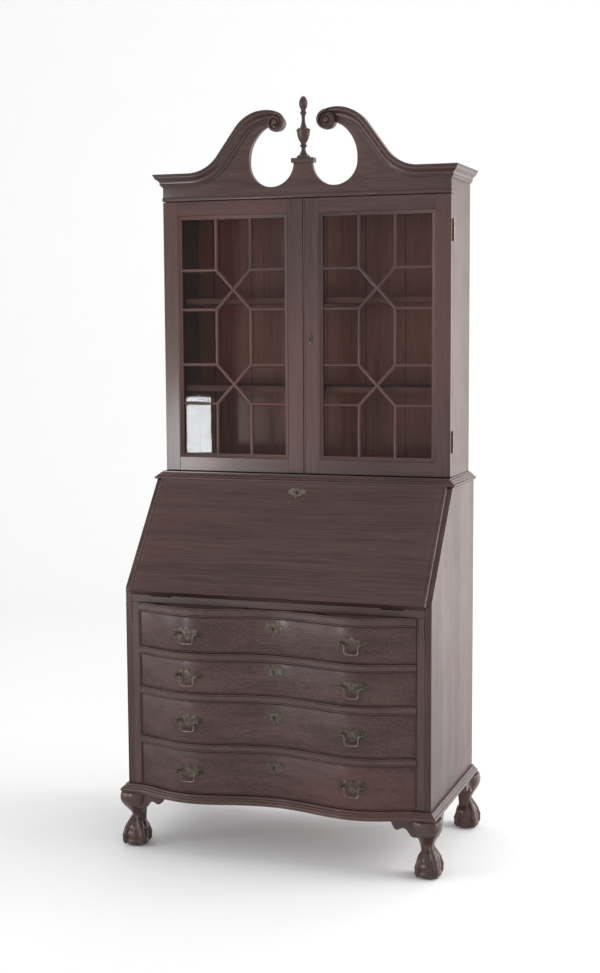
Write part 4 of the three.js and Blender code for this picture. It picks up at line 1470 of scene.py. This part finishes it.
class DESK_OT_pediment(bpy.types.Operator):
    """Make the shaped board, bead, plinth cap, crowns, rosettes and finial"""

    bl_idname = "desk.pediment"
    bl_label = "Pediment"
    bl_options = {"REGISTER", "UNDO"}

    def execute(self, context):
        flat = mahogany("X")
        place(pediment_board(), "cabinet", "mahogany", flat, "pediment_board")
        place(frieze_bead(), "cabinet", "mahogany", flat, "pediment_board")
        place(plinth_cap(), "cabinet", "mahogany", flat, "pediment_board")
        right = crown()
        left = copy_of(right, MIRROR, "left_crown_moulded")
        place(right, "cabinet", "mahogany", flat, "right_crown")
        place(left, "cabinet", "mahogany", flat, "left_crown")
        right = rosette()
        left = copy_of(right, MIRROR, "left_rosette_carved")
        place(right, "cabinet", "mahogany", flat, "right_crown")
        place(left, "cabinet", "mahogany", flat, "left_crown")
        place(finial(), "cabinet", "mahogany", mahogany("Z"), "finial")
        deselect()
        return {"FINISHED"}


class DESK_OT_doors(bpy.types.Operator):
    """Make the framed and glazed bookcase doors"""

    bl_idname = "desk.doors"
    bl_label = "Bookcase doors"
    bl_options = {"REGISTER", "UNDO"}

    def execute(self, context):
        # the doors carry stronger patches of painted red reflection
        upright, level = mahogany("Z", red=1.3), mahogany("X", red=1.3)
        stiles, rails = door_boards()
        pieces = [(stiles, upright), (rails, level), (door_sticking(), upright), (door_bars(), upright)]
        for piece, material in pieces:
            twin = copy_of(piece, MIRROR, piece.name.replace("right", "left"))
            place(piece, "door_right", "mahogany", material, "right_door_frame")
            place(twin, "door_left", "mahogany", material, "left_door_frame")
        place(meeting_bead(), "door_right", "mahogany", upright)
        finish_nodes(window_glass(), "left_door_glass", "right_door_glass")
        plate, dark = escutcheon(0.017, 0.036, 0.0, 0.0052, "door_keyhole_plate")
        for piece, material in ((plate, brass()), (dark, keyhole_dark())):
            stood(piece, DOOR_LOW.y)
            piece.location = DOOR_LOCK
            settle(piece, piece.name, 35)
            place(piece, "door_right", "brass", material)
        hinges = [f"{side}_door_{level}_hinge" for side in ("left", "right") for level in ("lower", "upper")]
        # The door hinges get brass made four times lighter: painted light, so that their knuckles, in shade
        # beside the brightly lit side, do not read dark.
        finish_nodes(brass("door_hinge_painted_light_brass", 4.0), *hinges)
        deselect()
        return {"FINISHED"}


class DESK_OT_mouldings(bpy.types.Operator):
    """Run the base and waist mouldings and the beaded blade edges"""

    bl_idname = "desk.mouldings"
    bl_label = "Mouldings"
    bl_options = {"REGISTER", "UNDO"}

    def execute(self, context):
        flat = mahogany("X")
        place(base_moulding(), "cabinet", "mahogany", flat, "base_moulding")
        place(waist_moulding(), "cabinet", "mahogany", flat, "waist_moulding")
        for i in (1, 2, 3):
            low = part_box(f"drawer_{i}_front")[0].z - 0.001
            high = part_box(f"drawer_{i + 1}_front")[1].z + 0.001
            place(blade_nosing(f"blade_{i}_nosing", high, low), "cabinet", "mahogany", flat)
        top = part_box("drawer_1_front")[1].z + 0.001
        place(blade_nosing("top_rail_nosing", top, RAIL_TOP), "cabinet", "mahogany", flat)
        deselect()
        return {"FINISHED"}


class DESK_OT_beads(bpy.types.Operator):
    """Run the upright beads beside the drawers"""

    bl_idname = "desk.beads"
    bl_label = "Upright beads"
    bl_options = {"REGISTER", "UNDO"}

    def execute(self, context):
        low, high = POST_LOW.z + 0.0004, POST_HIGH.z - 0.0008
        strips = []
        for x, radius in ((OPEN + 0.0020, 0.0018), (HALF_CASE - 0.0009, 0.0008)):
            profile = [(-radius, 0.0), *arc((0, 0.0001), radius, 172, 8, 9), (radius, 0.0)]
            strip = stood(moulding([(0.0, low), (0.0, high)], profile), FRONT)
            strip.location.x = x
            strips.append(strip)
        right = join(strips, "right_post_beads", 35)
        left = copy_of(right, MIRROR, "left_post_beads")
        for piece in (right, left):
            place(piece, "cabinet", "mahogany", mahogany("Z"))
        deselect()
        return {"FINISHED"}


class DESK_OT_fall(bpy.types.Operator):
    """Make the fall with its moulded lip and keyhole plate"""

    bl_idname = "desk.fall"
    bl_label = "Fall"
    bl_options = {"REGISTER", "UNDO"}

    def execute(self, context):
        flat = mahogany("X", ribbon=0.1)
        place(lid_panel(), "lid", "dark_mahogany", flat, "fall_front")
        rubbed = mahogany("X", ribbon=0.1, gloss=0.2, coat=0.6)
        place(lid_edge(), "lid", "dark_mahogany", rubbed, "fall_front")
        plate, dark = escutcheon(0.057, 0.034, 0.006, 0.0056, "fall_keyhole_plate")
        for piece, material, lift in ((plate, brass("lock_brass", 2.0), 0.0), (dark, keyhole_dark(), 0.0002)):
            piece.location = (0, LID_LENGTH - LID_LOCK, LID_THICK + lift)
            on_slope(piece, piece.name)
            place(piece, "lid", "brass", material)
        # The fall's hinges get brass darkened to near black: painted shade for the dark recess at the lid's
        # lower corners.
        finish_nodes(brass("fall_hinge_painted_shade_brass", 0.35), "left_fall_hinge", "right_fall_hinge")
        deselect()
        return {"FINISHED"}


class DESK_OT_drawers(bpy.types.Operator):
    """Make the oxbow drawer fronts with their plates, posts and bails"""

    bl_idname = "desk.drawers"
    bl_label = "Drawers"
    bl_options = {"REGISTER", "UNDO"}

    def execute(self, context):
        flat = mahogany("X", ribbon=0.12, red=0.8)
        plate = backplate()
        posts = [pull_post(PULL_X - POST_SPACING / 2), pull_post(PULL_X + POST_SPACING / 2)]
        hardware = join([plate] + posts, "pull_right", 40)
        swing = bail()
        lock, dark = escutcheon(0.059, 0.040, 0.004, 0.0054, "drawer_keyhole_plate")
        for piece in (lock, dark):
            stood(piece, FRONT)
            bend_to_front(piece, None, 24)
            settle(piece, piece.name, 35)
        for i in range(1, 5):
            body = f"drawer_{i}"
            node = f"drawer_{i}_front"
            low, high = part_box(node)
            place(drawer_front(i), body, "mahogany", flat, node)
            place(cock_bead(i), body, "mahogany", flat, node)
            pivot = bail_box(i)[1].z - PIVOT_DROP
            for side, flip in (("right", Matrix.Identity(4)), ("left", MIRROR)):
                lift = Matrix.Translation((0, 0, pivot)) @ flip
                piece = copy_of(hardware, lift, f"drawer_{i}_{side}_plate")
                place(piece, body, "brass", brass(), node)
                piece = copy_of(swing, lift, f"drawer_{i}_{side}_bail_shaped")
                place(piece, f"bail_{i}_{side}", "brass", brass("bail_brass", 1.9), f"drawer_{i}_{side}_bail")
            lift = Matrix.Translation((0, 0, (low.z + high.z) / 2 + LOCK_RISE))
            piece = copy_of(lock, lift, f"drawer_{i}_keyhole_plate")
            place(piece, body, "brass", brass(), node)
            piece = copy_of(dark, lift, f"drawer_{i}_keyhole_dark")
            place(piece, body, "brass", keyhole_dark(), node)
        for piece in (hardware, swing, lock, dark):
            bpy.data.objects.remove(piece)
        deselect()
        return {"FINISHED"}


class DESK_OT_feet(bpy.types.Operator):
    """Carve the four claw-and-ball feet"""

    bl_idname = "desk.feet"
    bl_label = "Feet"
    bl_options = {"REGISTER", "UNDO"}

    def execute(self, context):
        upright = mahogany("Z", gloss=0.3)
        front = carved_foot(inset=0.028, front_bracket=True)
        front.data.transform(Matrix.Translation((0, FRONT, 0)))
        rear = carved_foot(inset=0.012, front_bracket=False)
        rear.data.transform(Matrix.Translation((0, BACK, 0)) @ Matrix.Diagonal((1, -1, 1, 1)))
        settle(front, "front_left_foot_carved", 60)
        settle(rear, "rear_left_foot_carved", 60)
        for piece, name in ((front, "front"), (rear, "rear")):
            twin = copy_of(piece, MIRROR, f"{name}_right_foot_carved")
            place(piece, "cabinet", "mahogany", upright, f"{name}_left_foot")
            place(twin, "cabinet", "mahogany", upright, f"{name}_right_foot")
        deselect()
        return {"FINISHED"}


# ---------- stage ----------

CAMERA_PLACE = Vector((1.4293, FRONT - 3.8635, 1.4669))
CAMERA_YAW = -0.3367
CAMERA_PITCH = 0.1056
CAMERA_ROLL = 0.0056
SKY = 0.9  # strength of the even light from all round
COOL = (0.97, 0.985, 1.0)
WARM = (1.0, 0.93, 0.9)
FLOOR_DROP = 0.0004
FLOOR_WIDE = 26


def soft_light(name, at, target, width, height, power, colour=(1, 1, 1)):
    data = bpy.data.lights.new(name, "AREA")
    data.shape = "RECTANGLE"
    data.size = width
    data.size_y = height
    data.energy = power
    data.color = colour
    light = bpy.data.objects.new(name, data)
    light.location = at
    light.rotation_euler = (Vector(target) - Vector(at)).to_track_quat("-Z", "Y").to_euler()
    bpy.context.scene.collection.objects.link(light)
    return light


def camera_turn():
    """The camera's turn: yaw to the side, pitch down, then roll."""
    flat = math.cos(CAMERA_PITCH)
    forward = Vector((math.sin(CAMERA_YAW) * flat, math.cos(CAMERA_YAW) * flat, -math.sin(CAMERA_PITCH)))
    right = Vector((math.cos(CAMERA_YAW), -math.sin(CAMERA_YAW), 0))
    down = forward.cross(right)
    c, s = math.cos(CAMERA_ROLL), math.sin(CAMERA_ROLL)
    across = right * c + down * s
    up = right * s - down * c
    return Matrix((across, up, -forward)).transposed().to_4x4()


class DESK_OT_stage(bpy.types.Operator):
    """Set up the plain floor, the soft lights and the camera"""

    bl_idname = "desk.stage"
    bl_label = "Stage"
    bl_options = {"REGISTER", "UNDO"}

    def execute(self, context):
        stage = context.scene.desk_stage
        deselect()
        sweep = drawn([[(-9, 0), *arc((3.0, 2.0), 2.0, 270, 360, 20), (5.0, 12.0)]], closed=False)
        floor = made_mesh(sweep)
        open_mesh(floor)
        bpy.ops.mesh.extrude_region_move(TRANSFORM_OT_translate={"value": (0, 0, FLOOR_WIDE)})
        close_mesh()
        floor.data.transform(
            Matrix(((0, 0, 1, -FLOOR_WIDE / 2), (1, 0, 0, 0), (0, 1, 0, -FLOOR_DROP), (0, 0, 0, 1)))
        )
        settle(floor, "floor_and_backdrop", 60)
        g = Graph("plain_paper")
        mottle = g.noise(g.place(), 3.0)
        tone = tuple(stage.backdrop)
        colour = g.blend(mottle, shade(tone, 0.985), tone)
        floor.data.materials.append(g.finish(**{"Base Color": colour, "Roughness": 0.9}))
        world = bpy.data.worlds.new("studio")
        world.use_nodes = True
        sky = world.node_tree.nodes["Background"]
        sky.inputs["Color"].default_value = (1.0, 1.0, 1.0, 1)
        sky.inputs["Strength"].default_value = SKY
        context.scene.world = world
        soft_light("window_right", (3.6, 0.6, 1.9), (0.2, 0, 1.0), 2.6, 3.2, stage.window)
        soft_light("fill_left", (-4.2, -3.2, 1.2), (0, 0, 0.8), 1.8, 2.0, stage.fill, COOL)
        soft_light("glow_behind", (1.95, 2.7, 0.9), (0.44, 0, 0.8), 1.7, 2.4, stage.glow, WARM)
        soft_light("far_window", (-2.11, -4.0, 0.75), (-0.33, 0.05, 1.14), 0.26, 0.58, stage.pane)
        data = bpy.data.cameras.new("camera")
        data.lens = stage.lens
        data.clip_end = 60
        camera = bpy.data.objects.new("camera", data)
        camera.matrix_world = Matrix.Translation(CAMERA_PLACE) @ camera_turn()
        context.scene.collection.objects.link(camera)
        context.scene.camera = camera
        context.scene.view_settings.view_transform = "Standard"
        deselect()
        return {"FINISHED"}


PIECES = (
    DESK_OT_boards,
    DESK_OT_pediment,
    DESK_OT_doors,
    DESK_OT_mouldings,
    DESK_OT_beads,
    DESK_OT_fall,
    DESK_OT_drawers,
    DESK_OT_feet,
    DESK_OT_stage,
)


class DESK_PT_panel(bpy.types.Panel):
    """The desk's finishes, stage and pieces"""

    bl_idname = "DESK_PT_panel"
    bl_label = "Secretary Desk"
    bl_space_type = "VIEW_3D"
    bl_region_type = "UI"
    bl_category = "Desk"

    def draw(self, context):
        column = self.layout.column(align=True)
        for name in ("dark", "light", "brass", "gloss"):
            column.prop(context.scene.desk_finish, name)
        for name in ("ease", "bead", "bail", "plate_width", "plate_height"):
            column.prop(context.scene.desk_sizes, name)
        for name in ("backdrop", "window", "fill", "glow", "pane", "lens"):
            column.prop(context.scene.desk_stage, name)
        column.separator()
        for piece in PIECES:
            column.operator(piece.bl_idname)


CLASSES = (DESK_PG_finish, DESK_PG_sizes, DESK_PG_stage, *PIECES, DESK_PT_panel)


def register():
    for cls in CLASSES:
        bpy.utils.register_class(cls)
    bpy.types.Scene.desk_finish = PointerProperty(type=DESK_PG_finish)
    bpy.types.Scene.desk_sizes = PointerProperty(type=DESK_PG_sizes)
    bpy.types.Scene.desk_stage = PointerProperty(type=DESK_PG_stage)


def unregister():
    del bpy.types.Scene.desk_stage
    del bpy.types.Scene.desk_sizes
    del bpy.types.Scene.desk_finish
    for cls in reversed(CLASSES):
        bpy.utils.unregister_class(cls)


def main():
    register()
    bpy.ops.desk.boards()
    bpy.ops.desk.pediment()
    bpy.ops.desk.doors()
    bpy.ops.desk.mouldings()
    bpy.ops.desk.beads()
    bpy.ops.desk.fall()
    bpy.ops.desk.drawers()
    bpy.ops.desk.feet()
    bpy.ops.desk.stage()


if __name__ == "__main__":
    main()
